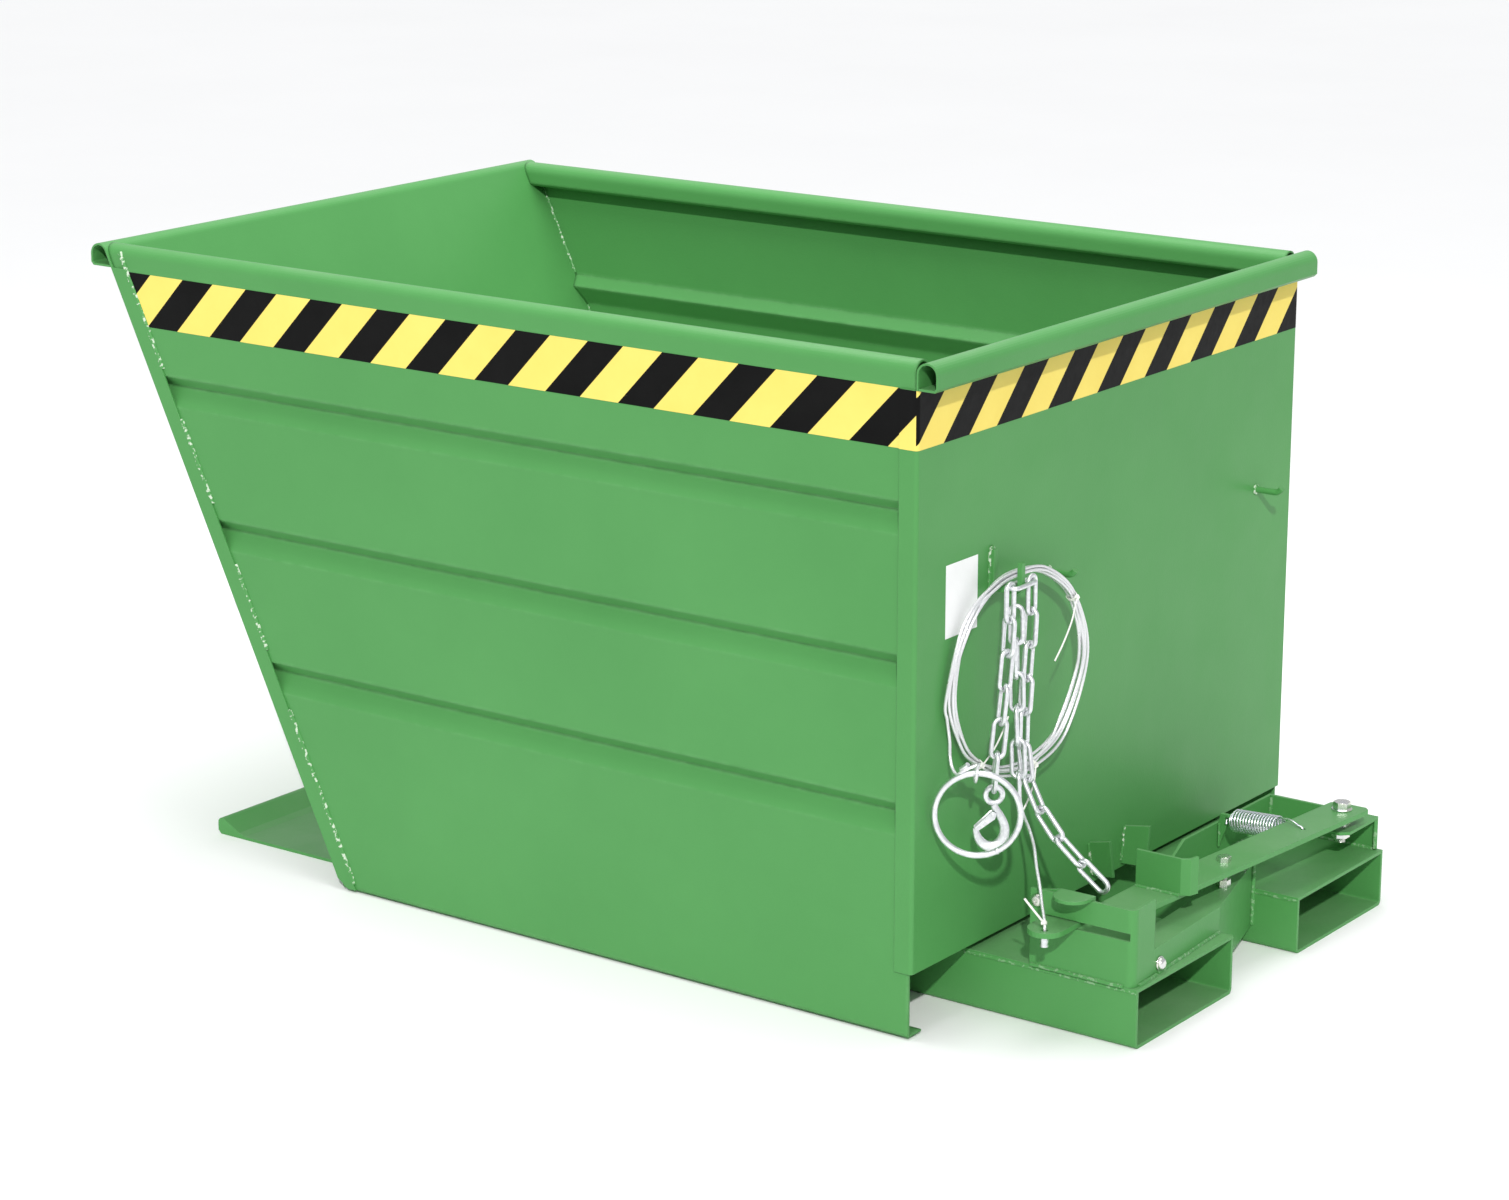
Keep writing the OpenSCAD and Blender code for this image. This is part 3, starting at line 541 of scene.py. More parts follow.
# %% Hook gate
cheek_out, cheek_thick, cheek_press = 4.85 * mm, 1.3 * mm, 0.5 * mm
gate_outline = [(4.4, -34), (-3.4, -32.6), (-27.6, -55), (-26.6, -60.4), (-22, -60.4), (1.8, -43.4)]
gate_cheeks = []
for side in (-1, 1):
    cheek = primitive(bpy.ops.mesh.primitive_circle_add, f"gate_cheek_{side + 1}",
                      vertices=len(gate_outline), radius=mm, fill_type="NGON")
    for vertex, (across, up) in zip(cheek.data.vertices, gate_outline):
        vertex.co = Vector((side * cheek_out, across * mm, up * mm))
    edit(cheek, faces=lambda face: True)
    bpy.ops.mesh.inset(thickness=1.6 * mm, use_even_offset=True)
    bpy.ops.transform.translate(value=(-side * cheek_press, 0, 0))
    bpy.ops.mesh.select_all(action="SELECT")
    bpy.ops.mesh.normals_make_consistent(inside=False)
    done()
    modifier(cheek, "SOLIDIFY", thickness=cheek_thick, offset=0)
    modifier(cheek, "BEVEL", width=0.35 * mm, segments=2, limit_method="ANGLE")
    gate_cheeks.append(cheek)
hook_gate = join("hook_gate_pressed", gate_cheeks)
smooth(hook_gate, 40)
place(hook_gate, hook_matrix)
print("gate faces", len(hook_gate.data.polygons))

# %% [markdown]
# A bolt's head is a hexagon whose corners are cut by a cone when it is turned. The same is done here:
# a six-sided prism is intersected with a disc whose top rim is bevelled. The disc is wider than the
# flats and narrower than the corners, so only the corners lose their edge. A thread is drawn as a
# stack of equal rings, because its slope can't be seen at this size.

# %% Bolt heads and nuts
def hexagon(name, across, height, low, middle):
    prism = primitive(bpy.ops.mesh.primitive_cylinder_add, name, vertices=6, radius=across / math.sqrt(3),
                      depth=height)
    disc = primitive(bpy.ops.mesh.primitive_cylinder_add, name + "_disc", vertices=64,
                     radius=across * 0.575, depth=height)
    edit(disc, faces=lambda face: face.normal.z > 0.9)
    bpy.ops.mesh.bevel(offset=across * 0.09, segments=3, affect="EDGES")
    done()
    made = prism.modifiers.new("turned", "BOOLEAN")
    made.operation = "INTERSECT"
    made.object = disc
    select_only(prism)
    bpy.ops.object.modifier_apply(modifier="turned")
    bpy.data.objects.remove(disc)
    smooth(prism, 25)
    return place(prism, Matrix.Translation(Vector((middle.x, middle.y, low + height / 2))))


def washer(name, radius, hole, height, low, middle):
    ring = primitive(bpy.ops.mesh.primitive_cylinder_add, name, vertices=40, radius=radius, depth=height)
    edit(ring, faces=lambda face: abs(face.normal.z) > 0.9)
    bpy.ops.mesh.inset(thickness=radius - hole)
    bpy.ops.mesh.bridge_edge_loops()
    done()
    modifier(ring, "BEVEL", width=height * 0.2, segments=2, limit_method="ANGLE")
    smooth(ring, 30)
    return place(ring, Matrix.Translation(Vector((middle.x, middle.y, low + height / 2))))


def threaded(name, radius, low, high, middle, pitch=2 * mm):
    """A bolt's shank: one thread crest, repeated along its length, with closed ends."""
    count = max(2, round((high - low) / pitch))
    root = 0.9
    crest = primitive(bpy.ops.mesh.primitive_circle_add, name, vertices=24, radius=radius * root)
    edit(crest, verts=lambda co: True)
    bpy.ops.mesh.extrude_region_move(TRANSFORM_OT_translate={"value": (0, 0, pitch / 2)})
    bpy.ops.transform.resize(value=(1 / root, 1 / root, 1))
    bpy.ops.mesh.extrude_region_move(TRANSFORM_OT_translate={"value": (0, 0, pitch / 2)})
    bpy.ops.transform.resize(value=(root, root, 1))
    done()
    modifier(crest, "ARRAY", count=count, use_relative_offset=False, use_constant_offset=True,
             constant_offset_displace=(0, 0, pitch), use_merge_vertices=True, merge_threshold=pitch / 20)
    close_ends(crest)
    stretch = (high - low) / (count * pitch)
    place(crest, Matrix.Translation(Vector((middle.x, middle.y, low))) @ Matrix.Diagonal((1, 1, stretch, 1)))
    smooth(crest, 60)
    return crest


def close_ends(obj):
    """Fills the open rims of a tube and turns every face outwards."""
    edit(obj, verts=lambda co: True)
    bpy.ops.mesh.select_all(action="DESELECT")
    bpy.ops.mesh.select_mode(type="EDGE")
    bpy.ops.mesh.select_non_manifold(extend=False)
    bpy.ops.mesh.edge_face_add()
    bpy.ops.mesh.select_all(action="SELECT")
    bpy.ops.mesh.normals_make_consistent(inside=False)
    done()


def middle_of(node):
    low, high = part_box(node)
    return (low + high) / 2


print("bolt helpers ready")

# %% [markdown]
# The lever turns on a long bolt with a washer and two nuts, and a smaller bolt with its nut goes
# through the lever's middle. Head, washer, shank and nut are made one by one and joined. Their heights
# follow the boxes of the CAD bolts that they stand for.

# %% Pivot bolt and glide bolt
pivot = at(236, 300, 0)
pivot_flats, pivot_radius, pivot_head, washer_high = 24 * mm, 7.9 * mm, 11 * mm, 2 * mm
pivot_low, pivot_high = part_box("lever_pivot_bolt")
pivot_bolt = join("pivot_bolt_turned", [
    hexagon("pivot_head", pivot_flats, pivot_head, pivot_high.z - pivot_head, pivot),
    washer("pivot_washer", 16 * mm, 8 * mm, washer_high, pivot_high.z - pivot_head - washer_high, pivot),
    threaded("pivot_shank", pivot_radius, pivot_low.z, pivot_high.z - pivot_head - mm, pivot)])

glide = at(208, -18, 0)
glide_flats, glide_radius, glide_head, glide_nut, glide_pitch = 19 * mm, 5.9 * mm, 8 * mm, 11 * mm, 1.75 * mm
glide_low, glide_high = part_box("glide_bolt")
glide_bolt = join("glide_bolt_turned", [
    hexagon("glide_head", glide_flats, glide_head, glide_high.z - glide_head, glide),
    threaded("glide_shank", glide_radius, glide_low.z + 0.3 * mm, glide_high.z - glide_head + mm, glide,
             glide_pitch),
    hexagon("glide_nut", glide_flats, glide_nut, glide_low.z, glide)])

nut_low, nut_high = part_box("lever_pivot_nut")
low_nut_high, second_nut_up = 13 * mm, 18 * mm
pivot_nuts = join("pivot_nuts_turned", [
    hexagon("pivot_nut_low", pivot_flats, low_nut_high, nut_low.z, pivot),
    hexagon("pivot_nut_high", pivot_flats, nut_high.z - nut_low.z - second_nut_up,
            nut_low.z + second_nut_up, pivot)])
print("turned bolts", len(pivot_bolt.data.polygons), len(glide_bolt.data.polygons))

# %% [markdown]
# The other fasteners have low domed heads. A dome is a disc whose top edge is bevelled in many steps,
# with a hexagon socket or a small flat left in the middle.

# %% Domed heads
def dome(name, radius, height, base, along, socket=0.0):
    head = primitive(bpy.ops.mesh.primitive_cylinder_add, name, vertices=48, radius=radius, depth=height)
    edit(head, faces=lambda face: face.normal.z > 0.9)
    bpy.ops.mesh.bevel(offset=height * 0.86, segments=7, affect="EDGES", profile=0.5)
    done()
    if socket:
        tool = primitive(bpy.ops.mesh.primitive_cylinder_add, name + "_tool", vertices=6, radius=socket,
                         depth=height, location=(0, 0, height * 0.62))
        made = head.modifiers.new("socket", "BOOLEAN")
        made.operation = "DIFFERENCE"
        made.object = tool
        select_only(head)
        bpy.ops.object.modifier_apply(modifier="socket")
        bpy.data.objects.remove(tool)
    smooth(head, 30)
    turn = UP.rotation_difference(along).to_matrix().to_4x4()
    return place(head, Matrix.Translation(base + along * height / 2) @ turn)


pawl_low, pawl_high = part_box("pawl_bolt")
pawl_middle = middle_of("pawl_bolt")
pawl_radius, pawl_head, pawl_end, pawl_socket = 9.8 * mm, 5.8 * mm, 4.8 * mm, 3.4 * mm
side_y = Vector((0, -1, 0))
pawl_shank = primitive(bpy.ops.mesh.primitive_cylinder_add, "pawl_shank", vertices=32, radius=5.9 * mm,
                       depth=pawl_high.y - pawl_low.y - 4 * mm, location=pawl_middle,
                       rotation=(math.pi / 2, 0, 0))
bpy.ops.object.transform_apply(location=True, rotation=True, scale=False)
modifier(pawl_shank, "BEVEL", width=0.6 * mm, segments=2, limit_method="ANGLE")
pawl_bolt = join("pawl_bolt_domed", [
    dome("pawl_head", pawl_radius, pawl_head,
         Vector((pawl_middle.x, pawl_low.y, pawl_middle.z)) - side_y * pawl_head, side_y, pawl_socket),
    dome("pawl_end", pawl_radius, pawl_end,
         Vector((pawl_middle.x, pawl_high.y - pawl_end - 0.1 * mm, pawl_middle.z)), -side_y),
    pawl_shank])
member_foot = middle_of("member_bolt")
member_foot.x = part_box("member_bolt")[0].x
outwards = Vector((1, 0, 0))
member_bolt = join("member_bolt_domed", [
    dome("member_flange", 11 * mm, 2.4 * mm, member_foot, outwards),
    dome("member_head", 9.4 * mm, 7.8 * mm, member_foot + outwards * 0.4 * mm, outwards)])
print("domed heads", len(pawl_bolt.data.polygons), len(member_bolt.data.polygons))

# %% [markdown]
# A weld bead is a row of overlapping ripples, one for each time the pool of metal froze. For each seam
# one ripple is modelled: a ring drawn out twice, fat in the middle. Array repeats it and merges the
# rings that meet, the ends are closed, and a random push leaves no two ripples alike. The bead is laid
# on the line between the two plates, half sunk into them.

# %% Weld beads
ripple = 4.2 * mm
rise, fall, swell, shrink = 0.62, 0.38, 1.19, 0.84
random.seed(11)


def weld(name, start, end, face, wide=6 * mm, high=4 * mm):
    """A bead from start to end; 'face' points out of the corner that it fills."""
    run = (end - start).length
    count = max(2, round(run / ripple))
    bead = primitive(bpy.ops.mesh.primitive_circle_add, name, vertices=8, radius=0.42,
                     rotation=(0, math.pi / 2, 0))
    bpy.ops.object.transform_apply(location=False, rotation=True, scale=False)
    edit(bead, verts=lambda co: True)
    bpy.ops.mesh.extrude_region_move(TRANSFORM_OT_translate={"value": (rise, 0, 0)})
    bpy.ops.transform.resize(value=(1, swell, swell))
    bpy.ops.mesh.extrude_region_move(TRANSFORM_OT_translate={"value": (fall, 0, 0)})
    bpy.ops.transform.resize(value=(1, shrink, shrink))
    done()
    modifier(bead, "ARRAY", count=count, use_relative_offset=False, use_constant_offset=True,
             constant_offset_displace=(1, 0, 0), use_merge_vertices=True, merge_threshold=0.05)
    close_ends(bead)
    edit(bead, verts=lambda co: True)
    bpy.ops.transform.vertex_random(offset=0.07, seed=random.randrange(1, 9999))
    done()
    place(bead, Matrix.Diagonal((run / count, wide, high, 1)))
    smooth(bead, 60)
    return place(bead, axes(start, end - start, face))


half_w = 535
front_foot, skirt_z = -1085, 5
front_slope = 471 / 980
wrap_skin = 27 / math.cos(math.atan(front_slope))


def front_x(z):
    return front_foot - (z - skirt_z) * front_slope


bin_welds, base_welds = [], []
for side in (-1, 1):
    out = Vector((0.35, side, 0.2))
    for i, (top, low) in enumerate(((975, 797), (721, 592), (500, 370), (280, 14))):
        ends = [at(front_x(z) + wrap_skin + 1, side * (half_w + 0.3), z) for z in (top, low)]
        bin_welds.append(weld(f"flange_weld_{side + 1}_{i}", ends[0], ends[1], out, 8 * mm, 6 * mm))
print("flange welds", len(bin_welds))

# %% [markdown]
# Inside the bin the sheets are welded where they meet: along the floor and down the front and rear
# corners, where the seams leave out the pressed ribs. On the rear wall the catch lugs, the rope hook
# and the bar hooks have small welds of their own.

# %% Bin seams inside, lugs and hooks
for side in (-1, 1):
    y = side * (half_w - 3)
    slant = Vector((1, -side, 0))
    bin_welds.append(weld(f"floor_seam_{side + 1}", at(-1128, y, 109), at(-5, y, 109), Vector((0, -side, 1))))
    bin_welds.append(weld(f"rear_seam_low_{side + 1}", at(-4, y, 112), at(-4, y, 300),
                          Vector((-1, -side, 0))))
    for i, (low, high) in enumerate(((356, 516), (572, 735), (791, 940))):
        bin_welds.append(weld(f"rear_seam_{side + 1}_{i}", at(-4, y, low), at(-4, y, high),
                              Vector((-1, -side, 0))))
        bin_welds.append(weld(f"front_seam_{side + 1}_{i}", at(front_x(low) + 5, y, low),
                              at(front_x(high) + 5, y, high), slant))
bin_welds.append(weld("floor_rear_seam", at(-4, -530, 109), at(-4, 530, 109), Vector((-1, 0, 1))))
bin_welds.append(weld("floor_front_seam", at(front_x(108) + 5, -530, 109), at(front_x(108) + 5, 530, 109),
                      Vector((1, 0, 1))))
lug_seams = (((1, -51, 114), (1, -63, 167)), ((1, -45, 116), (1, -57, 167)),
             ((1, 41, 110), (1, 48, 165)), ((1, 35, 112), (1, 42, 165)))
for i, (start, end) in enumerate(lug_seams):
    bin_welds.append(weld(f"lug_weld_{i}", at(*start), at(*end), Vector((1, 0, 0)), 6 * mm, 5 * mm))
for side in (-1, 1):
    bin_welds.append(weld(f"rope_hook_weld_{side + 1}", at(1, -348 + side * 4.5, 616),
                          at(1, -348 + side * 4.5, 684), Vector((1, 0, 0)), 5 * mm, 5 * mm))
bin_welds.append(weld("rope_hook_weld_top", at(2, -352, 686), at(2, -344, 686), Vector((1, 0, 0)),
                      8 * mm, 6 * mm))
for y in (-194, 422):
    collar = primitive(bpy.ops.mesh.primitive_torus_add, f"bar_hook_weld_{y + 200}", major_radius=6 * mm,
                       minor_radius=2.6 * mm, major_segments=30, minor_segments=8,
                       rotation=(0, math.pi / 2, 0))
    bpy.ops.object.transform_apply(location=False, rotation=True, scale=False)
    edit(collar, verts=lambda co: True)
    bpy.ops.transform.vertex_random(offset=0.5 * mm, seed=y + 600)
    done()
    place(collar, Matrix.Translation(at(0.6, y, 620)))
    smooth(collar, 60)
    bin_welds.append(collar)
print("bin welds", len(bin_welds))

# %% [markdown]
# The base is welded from thicker plate. Its beads run along the top edges and the nose of each fork
# pocket, beside the rest pads and the pivot lugs, and round the feet of the bracket, the upstand and
# the cross member.

# %% Base seams
pocket_in, pocket_out, pocket_end, pocket_front = 99, 374, 272, -790
for side in (-1, 1):
    for i, y in enumerate((pocket_in, pocket_out)):
        away = 1 if y == pocket_out else -1
        base_welds.append(weld(f"pocket_seam_{side + 1}_{i}", at(pocket_front, side * y, 85),
                               at(pocket_end - 1, side * y, 85), Vector((0, side * away, 0.4)),
                               5 * mm, 2.6 * mm))
    base_welds.append(weld(f"pocket_nose_seam_{side + 1}", at(pocket_front - 2, side * 110, 6),
                           at(pocket_front - 2, side * 363, 6), Vector((-1, 0, 1))))
    for x in (-100, -640):
        base_welds.append(weld(f"pad_weld_{side + 1}_{x + 1000}", at(x + 31, side * 140, 91),
                               at(x + 31, side * 330, 91), Vector((1, 0, 1)), 5 * mm, 3.6 * mm))
    for k in (-1, 1):
        y = side * (440 + k * 7)
        base_welds.append(weld(f"axle_lug_weld_{side + 1}_{k + 1}", at(-1120, y, 6), at(-962, y, 6),
                               Vector((0, side * k, 1)), 6 * mm, 5 * mm))
bracket_seams = (((96, -375, 91), (250, -375, 91), (0, -1, 1)), ((266, -358, 91), (264, -306, 91), (1, 0, 1)),
                 ((262.5, -300, 91), (250, -102, 91), (1, 0, 1)),
                 ((98, -368, 91), (252, -368, 91), (0, 1, 1)))
upstand_seams = (((75, 375, 91), (258, 375, 91), (0, 1, 1)), ((78, 368, 91), (258, 368, 91), (0, -1, 1)),
                 ((76, 102, 91), (76, 368, 91), (1, 0, 1)), ((69, 102, 91), (69, 372, 91), (-1, 0, 1)),
                 ((77, 367, 92), (77, 367, 140), (1, -1, 0)), ((77, 202, 104), (77, 202, 142), (1, 0, 0)),
                 ((262, 366, 92), (262, 366, 138), (1, -1, 0)))
member_seams = (((196, 98, 32), (196, 98, 128), (1, -1, 0)), ((190, 98, 32), (190, 98, 128), (-1, -1, 0)),
                ((250, -98, 32), (250, -98, 84), (1, 1, 0)))
for i, (start, end, face) in enumerate(bracket_seams + upstand_seams + member_seams):
    base_welds.append(weld(f"base_weld_{i}", at(*start), at(*end), Vector(face), 7 * mm, 5 * mm))
tab_weld = weld("tab_weld", at(158, -190.5, 170), at(231, -190.5, 170), Vector((0, -1, 1)), 6 * mm, 4 * mm)
print("base welds", len(base_welds))

# %% [markdown]
# The pull ring is bent from round bar and welded shut, so it has one small lump where its ends meet.

# %% Weld on the pull ring
ring_middle = middle_of("pull_ring")
ring_radius = 60.5 * mm
joint_angle = math.radians(-62)
ring_joint = primitive(bpy.ops.mesh.primitive_uv_sphere_add, "ring_joint", segments=20, ring_count=12,
                       radius=1)
edit(ring_joint, verts=lambda co: True)
bpy.ops.transform.vertex_random(offset=0.06, seed=5)
done()
place(ring_joint, Matrix.Diagonal((5.0 * mm, 5.2 * mm, 5.2 * mm, 1)))
place(ring_joint, Matrix.Translation(ring_middle + (ring_along * math.cos(joint_angle)
                                                    + UP * math.sin(joint_angle)) * ring_radius))
smooth(ring_joint, 60)
print("ring joint made")

# %% [markdown]
# ## Finishes
# Every finish is built from nodes. What several finishes share is a node group with named sockets,
# made once: a slow mottle for colour drift, rounded and worn edges, and a fine grain. The groups give
# out only masks, heights and normals, and the shader itself stays in each material.

# %% Helpers for node trees
def add(tree, kind, settings=None, **inputs):
    made = tree.nodes.new("ShaderNode" + kind)
    for name, value in (settings or {}).items():
        setattr(made, name, value)
    for name, value in inputs.items():
        socket = made.inputs[name.replace("_", " ")]
        if isinstance(value, bpy.types.NodeSocket):
            tree.links.new(value, socket)
        else:
            socket.default_value = value
    return made


def reckon(tree, operation, *values):
    made = add(tree, "Math", {"operation": operation})
    for socket, value in zip(made.inputs, values):
        if isinstance(value, bpy.types.NodeSocket):
            tree.links.new(value, socket)
        else:
            socket.default_value = value
    return made.outputs[0]


def blend_colour(tree, factor, first, second):
    made = add(tree, "Mix", {"data_type": "RGBA"})
    for index, value in ((0, factor), (6, first), (7, second)):
        if isinstance(value, bpy.types.NodeSocket):
            tree.links.new(value, made.inputs[index])
        else:
            made.inputs[index].default_value = value
    return made.outputs[2]


def ramp(tree, value, from_min, from_max, to_min=0.0, to_max=1.0):
    return add(tree, "MapRange", None, Value=value, From_Min=from_min, From_Max=from_max,
               To_Min=to_min, To_Max=to_max).outputs[0]


def group(name, inputs, outputs):
    tree = bpy.data.node_groups.new(name, "ShaderNodeTree")
    for label, value in inputs.items():
        socket = tree.interface.new_socket(name=label, in_out="INPUT", socket_type="NodeSocketFloat")
        socket.default_value = value
    for label, kind in outputs.items():
        tree.interface.new_socket(name=label, in_out="OUTPUT", socket_type="NodeSocket" + kind)
    return tree, tree.nodes.new("NodeGroupInput").outputs, tree.nodes.new("NodeGroupOutput").inputs


def use(tree, made, **values):
    node = tree.nodes.new("ShaderNodeGroup")
    node.node_tree = made
    for name, value in values.items():
        node.inputs[name.replace("_", " ")].default_value = value
    return node.outputs


print("node helpers ready")

# %% [markdown]
# Mottle is a soft cloud noise made into a mask. Worn edges compares a rounded normal with the true
# one: where they differ there is an edge, and the rounded normal also softens how it shines. Grain is
# a fine noise for bumps.

# %% Shared effects
mottle, given, result = group("mottle", {"Scale": 4.0}, {"Mask": "Float"})
place_on = add(mottle, "TexCoord").outputs["Object"]
clouds = add(mottle, "TexNoise", None, Vector=place_on, Scale=given["Scale"], Detail=5.0, Roughness=0.6)
mottle.links.new(ramp(mottle, clouds.outputs["Fac"], 0.3, 0.7), result["Mask"])

worn_edges, given, result = group("worn_edges", {"Radius": 0.001}, {"Mask": "Float", "Normal": "Vector"})
bevel = add(worn_edges, "Bevel", {"samples": 6}, Radius=given["Radius"])
flat = add(worn_edges, "NewGeometry").outputs["Normal"]
turned = add(worn_edges, "VectorMath", {"operation": "DOT_PRODUCT"})
worn_edges.links.new(bevel.outputs[0], turned.inputs[0])
worn_edges.links.new(flat, turned.inputs[1])
worn_edges.links.new(ramp(worn_edges, turned.outputs["Value"], 1.0, 0.9), result["Mask"])
worn_edges.links.new(bevel.outputs[0], result["Normal"])

grain, given, result = group("grain", {"Scale": 400.0, "Detail": 2.0}, {"Height": "Float"})
place_on = add(grain, "TexCoord").outputs["Object"]
specks = add(grain, "TexNoise", None, Vector=place_on, Scale=given["Scale"], Detail=given["Detail"])
grain.links.new(specks.outputs["Fac"], result["Height"])
print("node groups", [g.name for g in bpy.data.node_groups])

# %% [markdown]
# Powder coat is baked paint with a slight orange peel, a soft gloss and almost no colour change. It
# thins at sharp edges and looks a touch lighter there. Sheet steel is never quite flat, so a slow,
# shallow bump makes its reflections wander.

# %% Paint
def material(name):
    made = bpy.data.materials.new(name)
    made.use_nodes = True
    tree = made.node_tree
    return made, tree, tree.nodes["Principled BSDF"]


def feed(tree, shader, **inputs):
    for name, value in inputs.items():
        socket = shader.inputs[name.replace("_", " ")]
        if isinstance(value, bpy.types.NodeSocket):
            tree.links.new(value, socket)
        else:
            socket.default_value = value


def bump(tree, height, distance, normal=None, strength=1.0):
    made = add(tree, "Bump", None, Height=height, Distance=distance, Strength=strength)
    if normal is not None:
        tree.links.new(normal, made.inputs["Normal"])
    return made.outputs["Normal"]


GREEN = (0.08, 0.29, 0.081, 1)
GREEN_DEEP = (0.069, 0.262, 0.071, 1)
GREEN_THIN = (0.17, 0.43, 0.17, 1)
GREEN_DUST = (0.19, 0.37, 0.18, 1)
# pale green of the painted glints on the weld beads
GREEN_GLINT = (0.66, 0.74, 0.62, 1)


def paint(name, radius=1.2 * mm, peel=1.0, waves=1.0, dust=0.5, glint_specks=0.0):
    made, tree, shader = material(name)
    drift = use(tree, mottle, Scale=3.0)["Mask"]
    edges = use(tree, worn_edges, Radius=radius)
    patchy = use(tree, mottle, Scale=38.0)["Mask"]
    body = blend_colour(tree, reckon(tree, "MULTIPLY", drift, 0.8), GREEN, GREEN_DEEP)
    thin = reckon(tree, "MULTIPLY", edges["Mask"], reckon(tree, "MULTIPLY", patchy, 0.55))
    body = blend_colour(tree, thin, body, GREEN_THIN)
    facing_up = add(tree, "SeparateXYZ", None, Vector=add(tree, "NewGeometry").outputs["Normal"]).outputs["Z"]
    settled = reckon(tree, "MULTIPLY", ramp(tree, facing_up, 0.6, 1.0), reckon(tree, "MULTIPLY", drift, dust))
    body = blend_colour(tree, settled, body, GREEN_DUST)
    # pale specks on the weld beads are painted glints: highlights that the rough bead catches, put in as a
    # lighter colour
    if glint_specks:
        glint_mask = ramp(tree, use(tree, grain, Scale=160.0, Detail=3.0)["Height"], 0.53, 0.6)
        body = blend_colour(tree, reckon(tree, "MULTIPLY", glint_mask, glint_specks), body, GREEN_GLINT)
    rough = ramp(tree, use(tree, mottle, Scale=11.0)["Mask"], 0.0, 1.0, 0.36, 0.46)
    normal = bump(tree, use(tree, mottle, Scale=2.2)["Mask"], 0.9 * mm * waves, edges["Normal"])
    normal = bump(tree, use(tree, grain, Scale=330.0, Detail=1.5)["Height"], 0.16 * mm * peel, normal)
    feed(tree, shader, Base_Color=body, Roughness=rough, Normal=normal, Coat_Weight=0.04,
         Coat_Roughness=0.2, Specular_IOR_Level=0.24)
    return made


green_sheet = paint("green_sheet")
green_plate = paint("green_plate", 1.6 * mm, 1.1, 0.5, 0.7)
green_folds = paint("green_folds", 9 * mm)
green_weld = paint("green_weld", 0.6 * mm, 2.5, 0.3, 0.2, 0.8)
base_weld = paint("green_base_weld", 0.6 * mm, 2.5, 0.3, 0.4, 0.22)
print("paints made")

# %% [markdown]
# Zinc plate is bright with a faint blue or straw tint that drifts over the part. Hot-dip galvanising
# on the chain, hook and ring is duller and shows its crystals, which a Voronoi texture gives. The
# cable's own wires show as a fine slant along its length map, with painted shade in the grooves between them.

# %% Metals
def metal(name, first, second, rough, scale=60.0, radius=0.5 * mm, crystals=0.0, scratches=0.08):
    made, tree, shader = material(name)
    drift = use(tree, mottle, Scale=scale)["Mask"]
    edges = use(tree, worn_edges, Radius=radius)
    colour = blend_colour(tree, drift, first, second)
    gloss = ramp(tree, use(tree, mottle, Scale=scale * 3.1)["Mask"], 0.0, 1.0, rough[0], rough[1])
    height = use(tree, grain, Scale=900.0, Detail=3.0)["Height"]
    if crystals:
        cells = add(tree, "TexVoronoi", None, Vector=add(tree, "TexCoord").outputs["Object"], Scale=190.0)
        tone = add(tree, "SeparateColor", None, Color=cells.outputs["Color"]).outputs[0]
        colour = blend_colour(tree, reckon(tree, "MULTIPLY", tone, crystals), colour, (0.58, 0.59, 0.62, 1))
        gloss = reckon(tree, "ADD", gloss, reckon(tree, "MULTIPLY", tone, 0.1))
    normal = bump(tree, height, scratches * mm, edges["Normal"])
    feed(tree, shader, Base_Color=colour, Metallic=1.0, Roughness=gloss, Normal=normal)
    return made


zinc = metal("zinc_plate", (0.74, 0.75, 0.79, 1), (0.82, 0.79, 0.70, 1), (0.2, 0.34))
spring_steel = metal("spring_steel", (0.82, 0.83, 0.95, 1), (0.94, 0.94, 0.95, 1), (0.22, 0.32), 90.0)
galvanised = metal("galvanised", (0.95, 0.96, 0.98, 1), (0.84, 0.85, 0.87, 1), (0.28, 0.42), 45.0,
                   0.6 * mm, 0.5)
axle_steel = metal("axle_steel", (0.44, 0.44, 0.45, 1), (0.3, 0.3, 0.31, 1), (0.28, 0.45), 70.0)
bronze = metal("bush_bronze", (0.6, 0.41, 0.17, 1), (0.45, 0.29, 0.11, 1), (0.25, 0.4), 80.0)


def cable_finish():
    made, tree, shader = material("wire_rope")
    lay = add(tree, "SeparateXYZ", None, Vector=add(tree, "UVMap", {"uv_map": "lay"}).outputs["UV"])
    slant = reckon(tree, "ADD", reckon(tree, "MULTIPLY", lay.outputs["X"], 18.0),
                   reckon(tree, "MULTIPLY", lay.outputs["Y"], 620.0))
    wires = reckon(tree, "ABSOLUTE", reckon(tree, "SUBTRACT", reckon(tree, "FRACT", slant), 0.5))
    groove = ramp(tree, wires, 0.3, 0.5)
    # painted shade: the grooves between the wires get a darker grey than the crests
    colour = blend_colour(tree, groove, (0.92, 0.92, 0.94, 1), (0.6, 0.61, 0.64, 1))
    normal = bump(tree, reckon(tree, "SUBTRACT", 1.0, groove), 0.12 * mm)
    rough = ramp(tree, use(tree, mottle, Scale=30.0)["Mask"], 0.0, 1.0, 0.26, 0.4)
    feed(tree, shader, Base_Color=colour, Metallic=0.75, Roughness=rough, Normal=normal, Coat_Weight=0.7,
         Coat_Roughness=0.12)
    return made


wire_rope = cable_finish()
print("metals made")

# %% [markdown]
# Natural nylon lets some light in and has a soft gloss. The label and the hazard tape are printed
# film under a clear skin. The tape's stripes come from one sum: the distance along the tape, leaned
# by the height, cut into equal black and yellow parts.

